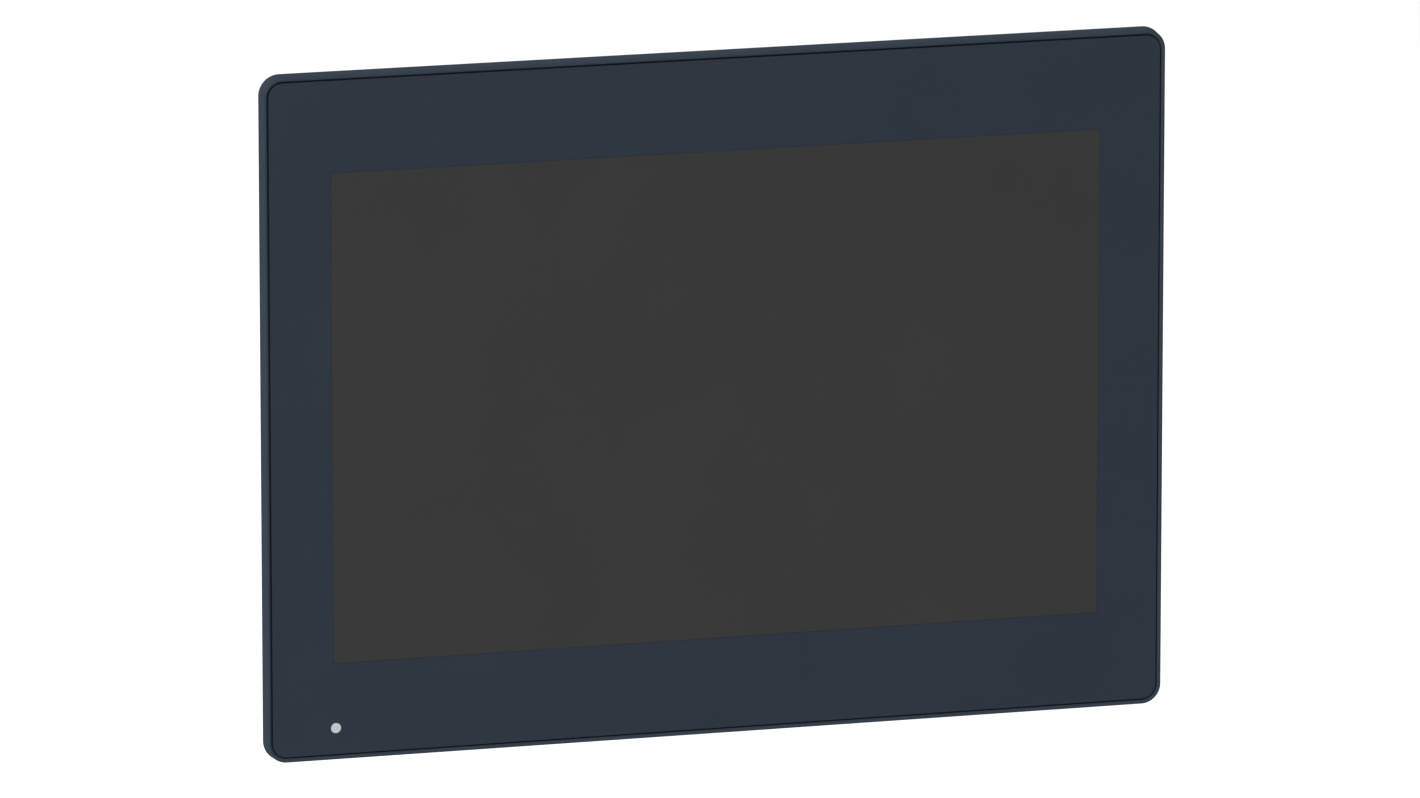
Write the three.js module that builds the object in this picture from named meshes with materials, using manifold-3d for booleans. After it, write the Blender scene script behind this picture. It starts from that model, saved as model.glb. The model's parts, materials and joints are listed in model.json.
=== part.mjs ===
// Panel-mount operator panel with a 12.1 inch wide touch screen.
// Millimetres. X points right as seen from the front, Y into the cabinet, Z up.
// The origin is the centre of the cabinet cut-out, on the plane of the flange's sealing face.

import * as THREE from 'three';
import { mergeVertices } from 'three/addons/utils/BufferGeometryUtils.js';
import Module from 'manifold-3d';

const wasm = await Module();
wasm.setup();

// ---------- Driving dimensions ----------

const clearance = 0.3;
const overrun = 1;
const cornerSteps = 5;
const roundSides = 20;
const mediumSides = 16;
const smallSides = 12;
const hexagonSides = 6;
const hairGap = 0.1;

// Front: outline, rim, printed sheet and screen window.
const bezel = { width: 308.5, height: 230.5, thickness: 5.5, corner: 7, roundOver: 1, draft: 0.35 };
const rimWidth = 1.3;
const grooveWidth = 0.9;
const sheetInset = 0.2;
const sheetThickness = 0.4;
const screen = { width: 262.7, height: 164.6, corner: 0.5 };

const crest = -bezel.thickness;
const sheetFront = crest + sheetInset;
const sheetRear = sheetFront + sheetThickness;
const recessFloor = sheetRear + clearance;
const sheet = {
  width: bezel.width - 2 * (rimWidth + grooveWidth),
  height: bezel.height - 2 * (rimWidth + grooveWidth),
  corner: bezel.corner - rimWidth - grooveWidth,
};

// Touch glass and the display module behind it, in layers from the front.
const glass = { width: 284, height: 180, corner: 1.5, thickness: 1.7 };
const glassRear = recessFloor + glass.thickness;
const glassPocket = { width: 285, height: 181, corner: 1.5, floor: glassRear + clearance };
const viewOpening = { width: 268, height: 170, corner: 1.5 };
const display = { width: 272, height: 178, front: 1.5, rear: 9.5, wall: 1, lip: 0.6, corner: 2 };
const displayOpening = { width: 264, height: 166, corner: 1 };
const foam = { width: 270, height: 176, corner: 2 };
const foamOpening = { width: 265, height: 167.4, corner: 1 };
const cell = { width: 267, height: 171, corner: 0.5, thickness: 1.4 };
const lightGuide = { width: 264, thickness: 3, z: [-84, 85] };
const ledBar = { width: 250, height: 2.6 };
const tray = { width: 269.4, height: 175.4, corner: 1, thickness: 0.8 };
const driverBoard = { x: -20, width: 190, z: [-86, -64] };

// The touch sensor's tail leaves over the top of the display, the display's cable through the chassis plate.
// Their routes are [y, z] points on the middle line.
const touchTail = {
  x: [21, 33],
  thickness: 0.25,
  slot: { x: [19, 35], z: [86, 92.2] },
  route: [[-2.2, 88.4], [-0.2, 90.6], [3, 91.2], [10, 91.2], [15.5, 90.2], [17.4, 86], [17.6, 72]],
};
const cable = {
  x: [-24, -4],
  thickness: 0.4,
  route: [[9.95, -76], [12.4, -72], [13.6, -60], [14.6, -50], [17.2, -46], [17.8, -34]],
};

// Status light at the lower left of the front: a light pipe from the round lens to an LED on its own board.
const status = {
  x: -130.7,
  z: -104.2,
  radius: 1.7,
  barWidth: 3.3,
  barDepth: 1.5,
  legZ: [-92.2, -90.7],
  legEnd: 0.4,
};
const ledBoard = { x: [-138, -114], y: [1.6, 2.8], z: [-92.2, -89.4], ledWidth: 3 };

// Sealing gasket and cabinet cut-out.
const cutout = { width: 295, height: 217 };
const gasket = { offset: 2.9, grooveWidth: 3, grooveDepth: 1.8, width: 2.4, proud: 0.9, corner: 5 };

// Rear housing: a wide step over the display and a deeper box over the electronics.
const step = { width: 288, height: 190, rear: 22, corner: 4 };
const box = { width: 210, height: 150, rear: 44, corner: 5 };
const wall = 2.3;
const cutReach = 4 * wall;
const boxRight = box.width / 2;
const boxBottom = -box.height / 2;
const rib = { thickness: 3, rear: 6, x: 60, z: 60, play: 0.5 };
const vent = { width: 2.6, pitch: 6, count: 26, length: 13, y: [26.5, 39.5] };
const rearVent = { count: 14, height: 26, x: -84, z: 40, width: 2.6, pitch: 6 };
const ratingPlate = { width: 72, height: 40, corner: 2, x: -45, z: -22, recess: 0.8 };

// Chassis plate and main board. Sleeves on the plate's posts take the housing's screws.
const chassis = { width: 271, height: 174, y: [10.2, 11.4], corner: 2 };
const post = { x: 138.8, z: 70, radius: 2.4, sleeveRadius: 2.6, ear: 12 };
const cableWindow = { width: 40, height: 26, corner: 4, x: -14, z: -70 };
const sideWindow = { width: 46, height: 60, corner: 6, x: 46 };
const standoff = { x: 92, z: [-62, 58], radius: 3, holeRadius: 1.6 };
const board = { x: [-98, 98], z: [-70.2, 66], y: [19.9, 21.5] };
const mountY = board.y[1] + clearance;

// M2.5 screws that hold the housing, sunk in seats in the step's rear face.
const screwSeat = { radius: 3.7, depth: 1.4 };
const housingScrew = {
  radius: 1.25,
  length: 8,
  headRadius: 2.6,
  headHeight: 1.6,
  socketRadius: 1.2,
  socketDepth: 0.9,
};
const screwHeadFront = step.rear - screwSeat.depth + clearance;
const screwTip = screwHeadFront - housingScrew.length;

// What the main board carries.
const processor = { x: 8, z: 18, size: 24, height: 2 };
const heatSink = { size: 42, height: 13, baseHeight: 3, fins: 8, finThickness: 1.4 };
const transformer = { x: -66, z: -22, width: 22, height: 18, depth: 13 };
const coil = { width: 15, height: 25, depth: 9, rise: 2 };
const coinCell = { x: 62, z: 40, radius: 10, thickness: 3.2 };
const cellCup = { radius: 12.4, depth: 5, floor: 1.2, notchWidth: 9, notchReach: 14 };
const buzzer = { x: -40, z: 48, radius: 6, height: 8 };

// Swing-out clamps in the strip between the housing and the edge of the cut-out.
const clamp = {
  x: 112,
  z: 100.4,
  reach: 11.8,
  armRadius: 4.5,
  armY: [11, 17.5],
  pinRadius: 2,
  postRadius: 3.8,
  headRadius: 3.8,
  headY: [17.9, 20.1],
  footRadius: 3.5,
  footY: [6.5, 10.6],
  socketDepth: 2.6,
  screwRadius: 2,
  screwHeadRadius: 3.5,
  screwHeadY: [30, 33],
  keyRadius: 1.7,
  keyDepth: 1.8,
  rivetDepth: 2.7,
  sideFlat: 0.2,
};

// Connectors in the box's lower wall. A mouth's rise is from the connector's middle line towards +Y.
const connectorSetBack = 0.2;
const network = {
  xs: [20, 40],
  width: 16,
  height: 13.4,
  length: 16,
  mouth: { width: 11.8, height: 8.6, rise: 0.6, depth: 12 },
  latch: { width: 6, height: 2.4, rise: -4.4, depth: 12 },
};
const usbHost = {
  x: 60,
  width: 13.2,
  height: 5.8,
  length: 14,
  mouth: { width: 12.5, height: 5.1, rise: 0, depth: 11 },
};
const usbDevice = {
  x: 79,
  width: 12,
  height: 11,
  length: 16,
  mouth: { width: 8.5, height: 7.8, rise: 0, depth: 9 },
};
const serial = { xs: [-45, -9], width: 30.8, height: 12.6, plateThickness: 1, length: 10, standOut: 5.6 };
const serialShell = { wide: 16.8, narrow: 14.4, height: 8.2 };
const serialBlock = { width: 19, height: 11 };
const serialOpening = { width: 18.2, height: 9.4 };
const plug = {
  width: 15.6,
  height: 9.2,
  z: [-10.5, 8.6],
  pitch: 5.08,
  entryRadius: 1.6,
  entryDepth: 6,
  wellZ: 4,
  wellFloor: 2,
};
const power = {
  x: -84,
  width: 18.4,
  height: 12,
  length: 13,
  mouth: { width: plug.width + 2 * clearance, height: plug.height + 2 * clearance, rise: 0, depth: 9 },
};

// Reset button beside the power socket, with its switch behind it.
const button = { x: -68, y: 3.2, radius: 1.6, z: [-1, 6] };
const resetSwitch = { width: 6, height: 6.2, z: [7.4, 11] };

// Memory card in the box's right wall.
const card = { length: 32, width: 24, thickness: 2.1, proud: 1.5, z: 20, y: 22.9, cornerCut: 3 };
const cardSocketWall = { side: 2, rear: 1 };

// Service door over the coin cell.
const door = { x: [42, 82], z: [22, 58], thickness: 2.1, play: 0.5 };
const hinge = { x: 40.6, y: 46.2, knuckleRadius: 1.9, pinRadius: 0.9, middle: [36, 44], margin: 2, leaf: 5 };
const latch = { width: 8, thickness: 1.6, inset: 1.4, reach: 6 };
const fingerNotch = { x: [81, 86], depth: 1.3, z: [35, 45] };

// ---------- Colours and finishes ----------

const finishes = {
  bezel: { color: 0x3d444e, roughness: 0.5, metalness: 0.0 },
  border: { color: 0x303741, roughness: 0.45, metalness: 0.0 },
  screen: { color: 0x39393a, roughness: 0.25, metalness: 0.0 },
  glass: { color: 0x7f9299, roughness: 0.05, metalness: 0.0 },
  lens: { color: 0xbfc2c4, roughness: 0.3, metalness: 0.0 },
  rubber: { color: 0x1b1c1e, roughness: 0.85, metalness: 0.0 },
  steel: { color: 0xa9adb1, roughness: 0.35, metalness: 0.9 },
  housing: { color: 0x34383d, roughness: 0.6, metalness: 0.0 },
  laminate: { color: 0x1f5a3c, roughness: 0.5, metalness: 0.0 },
  blackPlastic: { color: 0x18191b, roughness: 0.45, metalness: 0.0 },
  whitePlastic: { color: 0xdedfdc, roughness: 0.4, metalness: 0.0 },
  terminal: { color: 0x2f7d4c, roughness: 0.45, metalness: 0.0 },
  aluminium: { color: 0xb8bcc0, roughness: 0.4, metalness: 0.9 },
  film: { color: 0xa86a26, roughness: 0.4, metalness: 0.0 },
  label: { color: 0xc9cccf, roughness: 0.4, metalness: 0.3 },
};

// ---------- Solids ----------

function toSolid(geometry) {
  geometry.deleteAttribute('normal');
  geometry.deleteAttribute('uv');
  const merged = mergeVertices(geometry);
  return new wasm.Manifold(new wasm.Mesh({
    numProp: 3,
    vertProperties: new Float32Array(merged.attributes.position.array),
    triVerts: new Uint32Array(merged.index.array),
  }));
}

function toGeometry(solid) {
  const mesh = solid.getMesh();
  const geometry = new THREE.BufferGeometry();
  geometry.setAttribute('position', new THREE.BufferAttribute(mesh.vertProperties, 3));
  geometry.setIndex(new THREE.BufferAttribute(mesh.triVerts, 1));
  geometry.computeVertexNormals();
  return geometry;
}

const mirrored = (value) => [-value, value];

function join(first, ...others) {
  return others.reduce((solid, other) => solid.add(other), first);
}

function cut(first, ...tools) {
  return tools.reduce((solid, tool) => solid.subtract(tool), first);
}

function around(centre, size) {
  return [centre - size / 2, centre + size / 2];
}

function block({ x, y, z }) {
  const geometry = new THREE.BoxGeometry(x[1] - x[0], y[1] - y[0], z[1] - z[0]);
  geometry.translate((x[0] + x[1]) / 2, (y[0] + y[1]) / 2, (z[0] + z[1]) / 2);
  return toSolid(geometry);
}

// A cylinder along one axis, over a span on that axis; at holds the other two coordinates in X, Y, Z order.
function rod({ axis, radius, span, at, sides = roundSides }) {
  const geometry = new THREE.CylinderGeometry(radius, radius, span[1] - span[0], sides);
  const middle = (span[0] + span[1]) / 2;
  if (axis === 'x') {
    geometry.rotateZ(Math.PI / 2);
    geometry.translate(middle, at[0], at[1]);
  } else if (axis === 'y') {
    geometry.translate(at[0], middle, at[1]);
  } else {
    geometry.rotateX(Math.PI / 2);
    geometry.translate(at[0], at[1], middle);
  }
  return toSolid(geometry);
}

function roundedRectangle(width, height, corner) {
  const shape = new THREE.Shape();
  const x = width / 2 - corner;
  const z = height / 2 - corner;
  const quarter = Math.PI / 2;
  shape.absarc(x, -z, corner, -quarter, 0);
  shape.absarc(x, z, corner, 0, quarter);
  shape.absarc(-x, z, corner, quarter, 2 * quarter);
  shape.absarc(-x, -z, corner, 2 * quarter, 3 * quarter);
  return shape;
}

// A rounded rectangle that faces along Y, between two depths.
function plate({ width, height, corner, y, x = 0, z = 0, bevel = {} }) {
  const geometry = new THREE.ExtrudeGeometry(roundedRectangle(width, height, corner), {
    depth: y[1] - y[0],
    curveSegments: cornerSteps,
    bevelEnabled: false,
    ...bevel,
  });
  geometry.rotateX(Math.PI / 2);
  geometry.translate(x, y[1], z);
  return toSolid(geometry);
}

function ring(outer, inner, y) {
  const hole = plate({ ...inner, y: [y[0] - overrun, y[1] + overrun] });
  return cut(plate({ ...outer, y }), hole);
}

const stepsPerSpan = 3;

// A flat ribbon that bends in the YZ plane: the route's points are [y, z] pairs on its middle line.
function ribbon({ route, thickness, x }) {
  const curve = new THREE.SplineCurve(route.map(([y, z]) => new THREE.Vector2(y, z)));
  const steps = stepsPerSpan * (route.length - 1);
  const near = [];
  const far = [];
  for (let index = 0; index <= steps; index += 1) {
    const middle = curve.getPoint(index / steps);
    const along = curve.getTangent(index / steps);
    const side = new THREE.Vector2(-along.y, along.x).multiplyScalar(thickness / 2);
    near.push(middle.clone().add(side));
    far.unshift(middle.clone().sub(side));
  }
  const shape = new THREE.Shape([...near, ...far]);
  const geometry = new THREE.ExtrudeGeometry(shape, { depth: x[1] - x[0], bevelEnabled: false });
  const turn = new THREE.Matrix4().makeBasis(
    new THREE.Vector3(0, 1, 0),
    new THREE.Vector3(0, 0, 1),
    new THREE.Vector3(1, 0, 0),
  );
  geometry.applyMatrix4(turn);
  geometry.translate(x[0], 0, 0);
  return toSolid(geometry);
}

// The four places at the same distance from both centre lines, named as seen from the front.
function fourPlaces(x, z) {
  return [
    { name: 'top_left', x: -x, z },
    { name: 'top_right', x, z },
    { name: 'bottom_left', x: -x, z: -z },
    { name: 'bottom_right', x, z: -z },
  ];
}

const clampPlaces = () => fourPlaces(clamp.x, clamp.z);
const postPlaces = () => fourPlaces(post.x, post.z);

const panel = new THREE.Group();

function addPiece(name, solid, finish, parent = panel) {
  const mesh = new THREE.Mesh(toGeometry(solid), new THREE.MeshStandardMaterial(finish));
  mesh.name = name;
  parent.add(mesh);
  return mesh;
}

// ---------- Front bezel and its sheets ----------

// The flange's outline with its front edge rounded over and its sides drafted towards the front.
function bezelBlank() {
  const outline = { width: bezel.width, height: bezel.height, corner: bezel.corner };
  const rounded = plate({
    ...outline,
    y: [crest + bezel.roundOver, bezel.roundOver + overrun],
    bevel: {
      bevelEnabled: true,
      bevelThickness: bezel.roundOver,
      bevelSize: bezel.roundOver,
      bevelOffset: -bezel.roundOver,
      bevelSegments: 3,
    },
  });
  const drafted = plate({
    ...outline,
    y: [0, overrun],
    bevel: {
      bevelEnabled: true,
      bevelThickness: bezel.thickness,
      bevelSize: bezel.draft,
      bevelOffset: -bezel.draft,
      bevelSegments: 1,
    },
  });
  const behind = block({
    x: around(0, 2 * bezel.width),
    y: [0, 4 * bezel.thickness],
    z: around(0, 2 * bezel.height),
  });
  return cut(rounded.intersect(drafted), behind);
}

// A band of the given width that follows the gasket's middle line around the cut-out.
function gasketBand(width, y) {
  const grown = (growth) => ({
    width: cutout.width + 2 * gasket.offset + growth,
    height: cutout.height + 2 * gasket.offset + growth,
    corner: gasket.corner + growth / 2,
  });
  return ring(grown(width), grown(-width), y);
}

function frontBezel() {
  const recess = plate({
    width: bezel.width - 2 * rimWidth,
    height: bezel.height - 2 * rimWidth,
    corner: bezel.corner - rimWidth,
    y: [crest - overrun, recessFloor],
  });
  const gasketGroove = gasketBand(gasket.grooveWidth, [-gasket.grooveDepth, overrun]);
  const pocket = plate({ ...glassPocket, y: [crest, glassPocket.floor] });
  const opening = plate({ ...viewOpening, y: [crest, overrun] });
  const lightChannel = block({
    x: around(status.x, status.barWidth + 2 * clearance),
    y: [crest, recessFloor + status.barDepth + clearance],
    z: [status.z - status.barWidth / 2 - clearance, status.legZ[1] + clearance],
  });
  const lightHole = block({
    x: around(status.x, status.barWidth + 2 * clearance),
    y: [crest, overrun],
    z: [status.legZ[0] - clearance, status.legZ[1] + clearance],
  });
  const tailSlot = block({ ...touchTail.slot, y: [crest, overrun] });
  const rivetHoles = clampPlaces().map(({ x, z }) => rod({
    axis: 'y',
    radius: clamp.pinRadius + clearance,
    span: [-clamp.rivetDepth - clearance, overrun],
    at: [x, z],
    sides: smallSides,
  }));
  return cut(bezelBlank(), recess, pocket, opening, gasketGroove, lightChannel, lightHole, tailSlot,
    ...rivetHoles);
}

function borderOverlay() {
  const lensHole = rod({
    axis: 'y',
    radius: status.radius + clearance,
    span: [sheetFront - overrun, sheetRear + overrun],
    at: [status.x, status.z],
  });
  const windowHole = {
    width: screen.width + 2 * clearance,
    height: screen.height + 2 * clearance,
    corner: screen.corner + clearance,
  };
  return cut(ring(sheet, windowHole, [sheetFront, sheetRear]), lensHole);
}

// A bar in the bezel's channel, with the round lens at its outer end and a leg to the LED at its inner end.
function statusLightPipe() {
  const lens = rod({
    axis: 'y',
    radius: status.radius,
    span: [sheetFront, recessFloor + status.barDepth / 2],
    at: [status.x, status.z],
  });
  const bar = block({
    x: around(status.x, status.barWidth),
    y: [recessFloor, recessFloor + status.barDepth],
    z: [status.z - status.barWidth / 2, status.legZ[1]],
  });
  const leg = block({
    x: around(status.x, status.barWidth),
    y: [recessFloor, status.legEnd],
    z: status.legZ,
  });
  return join(lens, bar, leg);
}

addPiece('front_bezel', frontBezel(), finishes.bezel);
addPiece('border_overlay', borderOverlay(), finishes.border);
addPiece('touch_window', plate({ ...screen, y: [sheetFront, sheetRear] }), finishes.screen);
addPiece('touch_glass', plate({ ...glass, y: [recessFloor, glassRear] }), finishes.glass);
addPiece('status_light_pipe', statusLightPipe(), finishes.lens);
addPiece(
  'panel_gasket',
  gasketBand(gasket.width, [clearance - gasket.grooveDepth, gasket.proud]),
  finishes.rubber,
);

// ---------- Display module ----------

const cellFront = display.front + display.lip + clearance;
const guideFront = cellFront + cell.thickness + clearance;
const trayFront = guideFront + lightGuide.thickness + clearance;
const guideY = [guideFront, guideFront + lightGuide.thickness];
const ledBarTop = lightGuide.z[0] - clearance;

function displayFrame() {
  const shell = plate({ ...display, y: [display.front, display.rear] });
  const hollow = plate({
    width: display.width - 2 * display.wall,
    height: display.height - 2 * display.wall,
    corner: display.corner - display.wall / 2,
    y: [display.front + display.lip, display.rear + overrun],
  });
  const opening = plate({ ...displayOpening, y: [display.front - overrun, display.rear] });
  return cut(shell, hollow, opening);
}

// A narrow board with its LED soldered on, facing the end of the light pipe.
function statusLedBoard() {
  const lamp = block({
    x: around(status.x, ledBoard.ledWidth),
    y: [status.legEnd + clearance, ledBoard.y[1]],
    z: status.legZ,
  });
  return join(block(ledBoard), lamp);
}

addPiece('display_seal', ring(foam, foamOpening, [clearance, display.front - clearance]), finishes.rubber);
addPiece('lcd_frame', displayFrame(), finishes.steel);
addPiece('lcd_cell', plate({ ...cell, y: [cellFront, cellFront + cell.thickness] }), finishes.screen);
addPiece(
  'light_guide',
  block({ x: around(0, lightGuide.width), y: guideY, z: lightGuide.z }),
  finishes.glass,
);
addPiece(
  'led_bar',
  block({ x: around(0, ledBar.width), y: guideY, z: [ledBarTop - ledBar.height, ledBarTop] }),
  finishes.whitePlastic,
);
addPiece('backlight_tray', plate({ ...tray, y: [trayFront, trayFront + tray.thickness] }), finishes.steel);
addPiece('lcd_driver_board', block({
  x: around(driverBoard.x, driverBoard.width),
  y: [trayFront + tray.thickness + clearance, display.rear],
  z: driverBoard.z,
}), finishes.laminate);
addPiece('touch_flex', ribbon(touchTail), finishes.film);
addPiece('display_cable', ribbon(cable), finishes.whitePlastic);
addPiece('status_led_board', statusLedBoard(), finishes.laminate);

// ---------- Chassis plate and main board ----------

// A steel plate with front posts to the bezel, rear stand-offs for the board, sleeves for the housing's
// screws, and windows for the cables.
function chassisPlate() {
  const sheetMetal = plate(chassis);
  const ears = mirrored(post.z).map((z) => block({
    x: around(0, 2 * (post.x + post.radius)),
    y: chassis.y,
    z: around(z, post.ear),
  }));
  const atCorners = (radius, span) => postPlaces().map(({ x, z }) => rod({
    axis: 'y',
    radius,
    span,
    at: [x, z],
    sides: smallSides,
  }));
  const posts = atCorners(post.radius, [clearance, chassis.y[1]]);
  const sleeves = atCorners(post.sleeveRadius, [chassis.y[0], step.rear - wall - clearance]);
  const threads = atCorners(housingScrew.radius + clearance, [screwTip - clearance, step.rear]);
  const standoffs = mirrored(standoff.x).flatMap((x) => standoff.z.map((z) => rod({
    axis: 'y',
    radius: standoff.radius,
    span: [chassis.y[0], board.y[0] - clearance],
    at: [x, z],
    sides: hexagonSides,
  })));
  const windows = [cableWindow, sideWindow, { ...sideWindow, x: -sideWindow.x }].map((hole) => plate({
    ...hole,
    y: [chassis.y[0] - overrun, chassis.y[1] + overrun],
  }));
  return cut(join(sheetMetal, ...ears, ...posts, ...sleeves, ...standoffs), ...windows, ...threads);
}

function mainBoard() {
  const holes = mirrored(standoff.x).flatMap((x) => standoff.z.map((z) => rod({
    axis: 'y',
    radius: standoff.holeRadius,
    span: [board.y[0] - overrun, board.y[1] + overrun],
    at: [x, z],
    sides: smallSides,
  })));
  return cut(block(board), ...holes);
}

function onBoard(height, rise = 0) {
  return [mountY + rise, mountY + rise + height];
}

function heatSinkBody() {
  const { size, height, baseHeight, fins, finThickness } = heatSink;
  const y = mountY + processor.height + clearance;
  const z = around(processor.z, size);
  const left = processor.x - size / 2;
  const pitch = (size - finThickness) / (fins - 1);
  const upright = [];
  for (let index = 0; index < fins; index += 1) {
    const x = left + index * pitch;
    upright.push(block({ x: [x, x + finThickness], y: [y, y + height], z }));
  }
  return join(block({ x: around(processor.x, size), y: [y, y + baseHeight], z }), ...upright);
}

function transformerBody() {
  const { x, z } = transformer;
  const core = block({
    x: around(x, transformer.width),
    y: onBoard(transformer.depth),
    z: around(z, transformer.height),
  });
  const winding = block({
    x: around(x, coil.width),
    y: onBoard(coil.depth, coil.rise),
    z: around(z, coil.height),
  });
  return join(core, winding);
}

// An open cup with a notch for the finger that lifts the cell out.
function batteryHolder() {
  const at = [coinCell.x, coinCell.z];
  const inside = [mountY + cellCup.floor, mountY + cellCup.depth + overrun];
  const cup = rod({ axis: 'y', radius: cellCup.radius, span: onBoard(cellCup.depth), at });
  const well = rod({ axis: 'y', radius: coinCell.radius + clearance + hairGap, span: inside, at });
  const notch = block({
    x: around(coinCell.x, cellCup.notchWidth),
    y: inside,
    z: [coinCell.z, coinCell.z + cellCup.notchReach],
  });
  return cut(cup, well, notch);
}

addPiece('chassis_plate', chassisPlate(), finishes.steel);
addPiece('main_board', mainBoard(), finishes.laminate);
addPiece('processor', block({
  x: around(processor.x, processor.size),
  y: onBoard(processor.height),
  z: around(processor.z, processor.size),
}), finishes.blackPlastic);
addPiece('heat_sink', heatSinkBody(), finishes.aluminium);
addPiece('power_transformer', transformerBody(), finishes.blackPlastic);
addPiece('battery_holder', batteryHolder(), finishes.blackPlastic);
addPiece('coin_cell', rod({
  axis: 'y',
  radius: coinCell.radius,
  span: onBoard(coinCell.thickness, cellCup.floor + clearance),
  at: [coinCell.x, coinCell.z],
}), finishes.steel);
addPiece('buzzer', rod({
  axis: 'y',
  radius: buzzer.radius,
  span: onBoard(buzzer.height),
  at: [buzzer.x, buzzer.z],
  sides: mediumSides,
}), finishes.blackPlastic);

// ---------- Connectors ----------

// Every connector is drawn around the point where its middle line meets the box's lower wall,
// so it opens along -Z. Its rear side, at low Y, lies on the main board.
function socketBody({ width, height, length }, ...mouths) {
  const z = [connectorSetBack, connectorSetBack + length];
  const cavities = mouths.map((mouth) => block({
    x: around(0, mouth.width),
    y: around(height / 2 + mouth.rise, mouth.height),
    z: [connectorSetBack - overrun, connectorSetBack + mouth.depth],
  }));
  return cut(block({ x: around(0, width), y: [0, height], z }), ...cavities);
}

// A flange plate behind the wall, with the D-shaped shell standing out through it.
function serialSocket() {
  const middle = serial.height / 2;
  const flangeBack = wall + clearance + serial.plateThickness;
  const flange = block({
    x: around(0, serial.width),
    y: [0, serial.height],
    z: [wall + clearance, flangeBack],
  });
  const rear = block({
    x: around(0, serialBlock.width),
    y: around(middle, serialBlock.height),
    z: [flangeBack, flangeBack + serial.length],
  });
  const outline = new THREE.Shape();
  outline.moveTo(-serialShell.narrow / 2, -serialShell.height / 2);
  outline.lineTo(serialShell.narrow / 2, -serialShell.height / 2);
  outline.lineTo(serialShell.wide / 2, serialShell.height / 2);
  outline.lineTo(-serialShell.wide / 2, serialShell.height / 2);
  const geometry = new THREE.ExtrudeGeometry(outline, {
    depth: serial.standOut + flangeBack,
    bevelEnabled: false,
  });
  geometry.translate(0, middle, -serial.standOut);
  return join(toSolid(geometry), flange, rear);
}

// Three screw terminals: wire entries below, screw wells on the side that faces the service engineer.
function powerPlug() {
  const middle = power.height / 2;
  const body = block({ x: around(0, plug.width), y: around(middle, plug.height), z: plug.z });
  const holes = [-plug.pitch, 0, plug.pitch].flatMap((x) => [
    rod({
      axis: 'z',
      radius: plug.entryRadius,
      span: [plug.z[0] - overrun, plug.z[0] + plug.entryDepth],
      at: [x, middle],
      sides: smallSides,
    }),
    rod({
      axis: 'y',
      radius: plug.entryRadius,
      span: [middle + plug.wellFloor, middle + plug.height],
      at: [x, plug.z[0] + plug.wellZ],
      sides: smallSides,
    }),
  ]);
  return cut(body, ...holes);
}

function placeConnector(name, solid, finish, x) {
  addPiece(name, solid, finish).position.set(x, mountY, boxBottom);
}

placeConnector('power_socket', socketBody(power, power.mouth), finishes.terminal, power.x);
placeConnector('power_plug', powerPlug(), finishes.terminal, power.x);
serial.xs.forEach((x, index) => {
  placeConnector(`serial_socket_${index + 1}`, serialSocket(), finishes.steel, x);
});
network.xs.forEach((x, index) => {
  const solid = socketBody(network, network.mouth, network.latch);
  placeConnector(`network_socket_${index + 1}`, solid, finishes.steel, x);
});
placeConnector('usb_host_socket', socketBody(usbHost, usbHost.mouth), finishes.steel, usbHost.x);
placeConnector('usb_device_socket', socketBody(usbDevice, usbDevice.mouth), finishes.steel, usbDevice.x);

// ---------- Memory card and reset button ----------

const cardSlot = {
  y: [card.y - 2 * clearance, card.y + card.thickness + clearance],
  z: around(card.z, card.width + 4 * clearance),
};

function memoryCard() {
  const outer = boxRight + card.proud;
  const body = block({
    x: [outer - card.length, outer],
    y: [card.y, card.y + card.thickness],
    z: around(card.z, card.width),
  });
  const corner = new THREE.BoxGeometry(2 * card.cornerCut, 2 * card.width, 2 * card.cornerCut);
  corner.scale(Math.SQRT1_2, 1, Math.SQRT1_2);
  corner.rotateY(Math.PI / 4);
  corner.translate(outer - card.length, card.y, card.z + card.width / 2);
  return cut(body, toSolid(corner));
}

function cardSocket() {
  const inner = boxRight - wall - clearance;
  const body = block({
    x: [boxRight - card.length, inner],
    y: [mountY, cardSlot.y[1] + cardSocketWall.rear],
    z: around(card.z, card.width + 2 * cardSocketWall.side),
  });
  const slot = block({
    x: [boxRight + card.proud - card.length - overrun, boxRight],
    y: cardSlot.y,
    z: around(card.z, card.width + 2 * clearance),
  });
  return cut(body, slot);
}

addPiece('card_socket', cardSocket(), finishes.steel);
addPiece('memory_card', memoryCard(), finishes.blackPlastic);
placeConnector('reset_switch', block({
  x: around(0, resetSwitch.width),
  y: [0, resetSwitch.height],
  z: resetSwitch.z,
}), finishes.blackPlastic, button.x);
placeConnector('reset_button', rod({
  axis: 'z',
  radius: button.radius,
  span: button.z,
  at: [0, button.y],
  sides: smallSides,
}), finishes.whitePlastic, button.x);

// ---------- Rear housing ----------

function housingShell() {
  const base = plate({ ...step, y: [clearance, step.rear] });
  const deep = plate({ ...box, y: [clearance, box.rear] });
  const baseHollow = plate({
    width: step.width - 2 * wall,
    height: step.height - 2 * wall,
    corner: step.corner - wall / 2,
    y: [clearance - overrun, step.rear - wall],
  });
  const deepHollow = plate({
    width: box.width - 2 * wall,
    height: box.height - 2 * wall,
    corner: box.corner - wall,
    y: [clearance, box.rear - wall],
  });
  return cut(join(base, deep), baseHollow, deepHollow);
}

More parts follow.
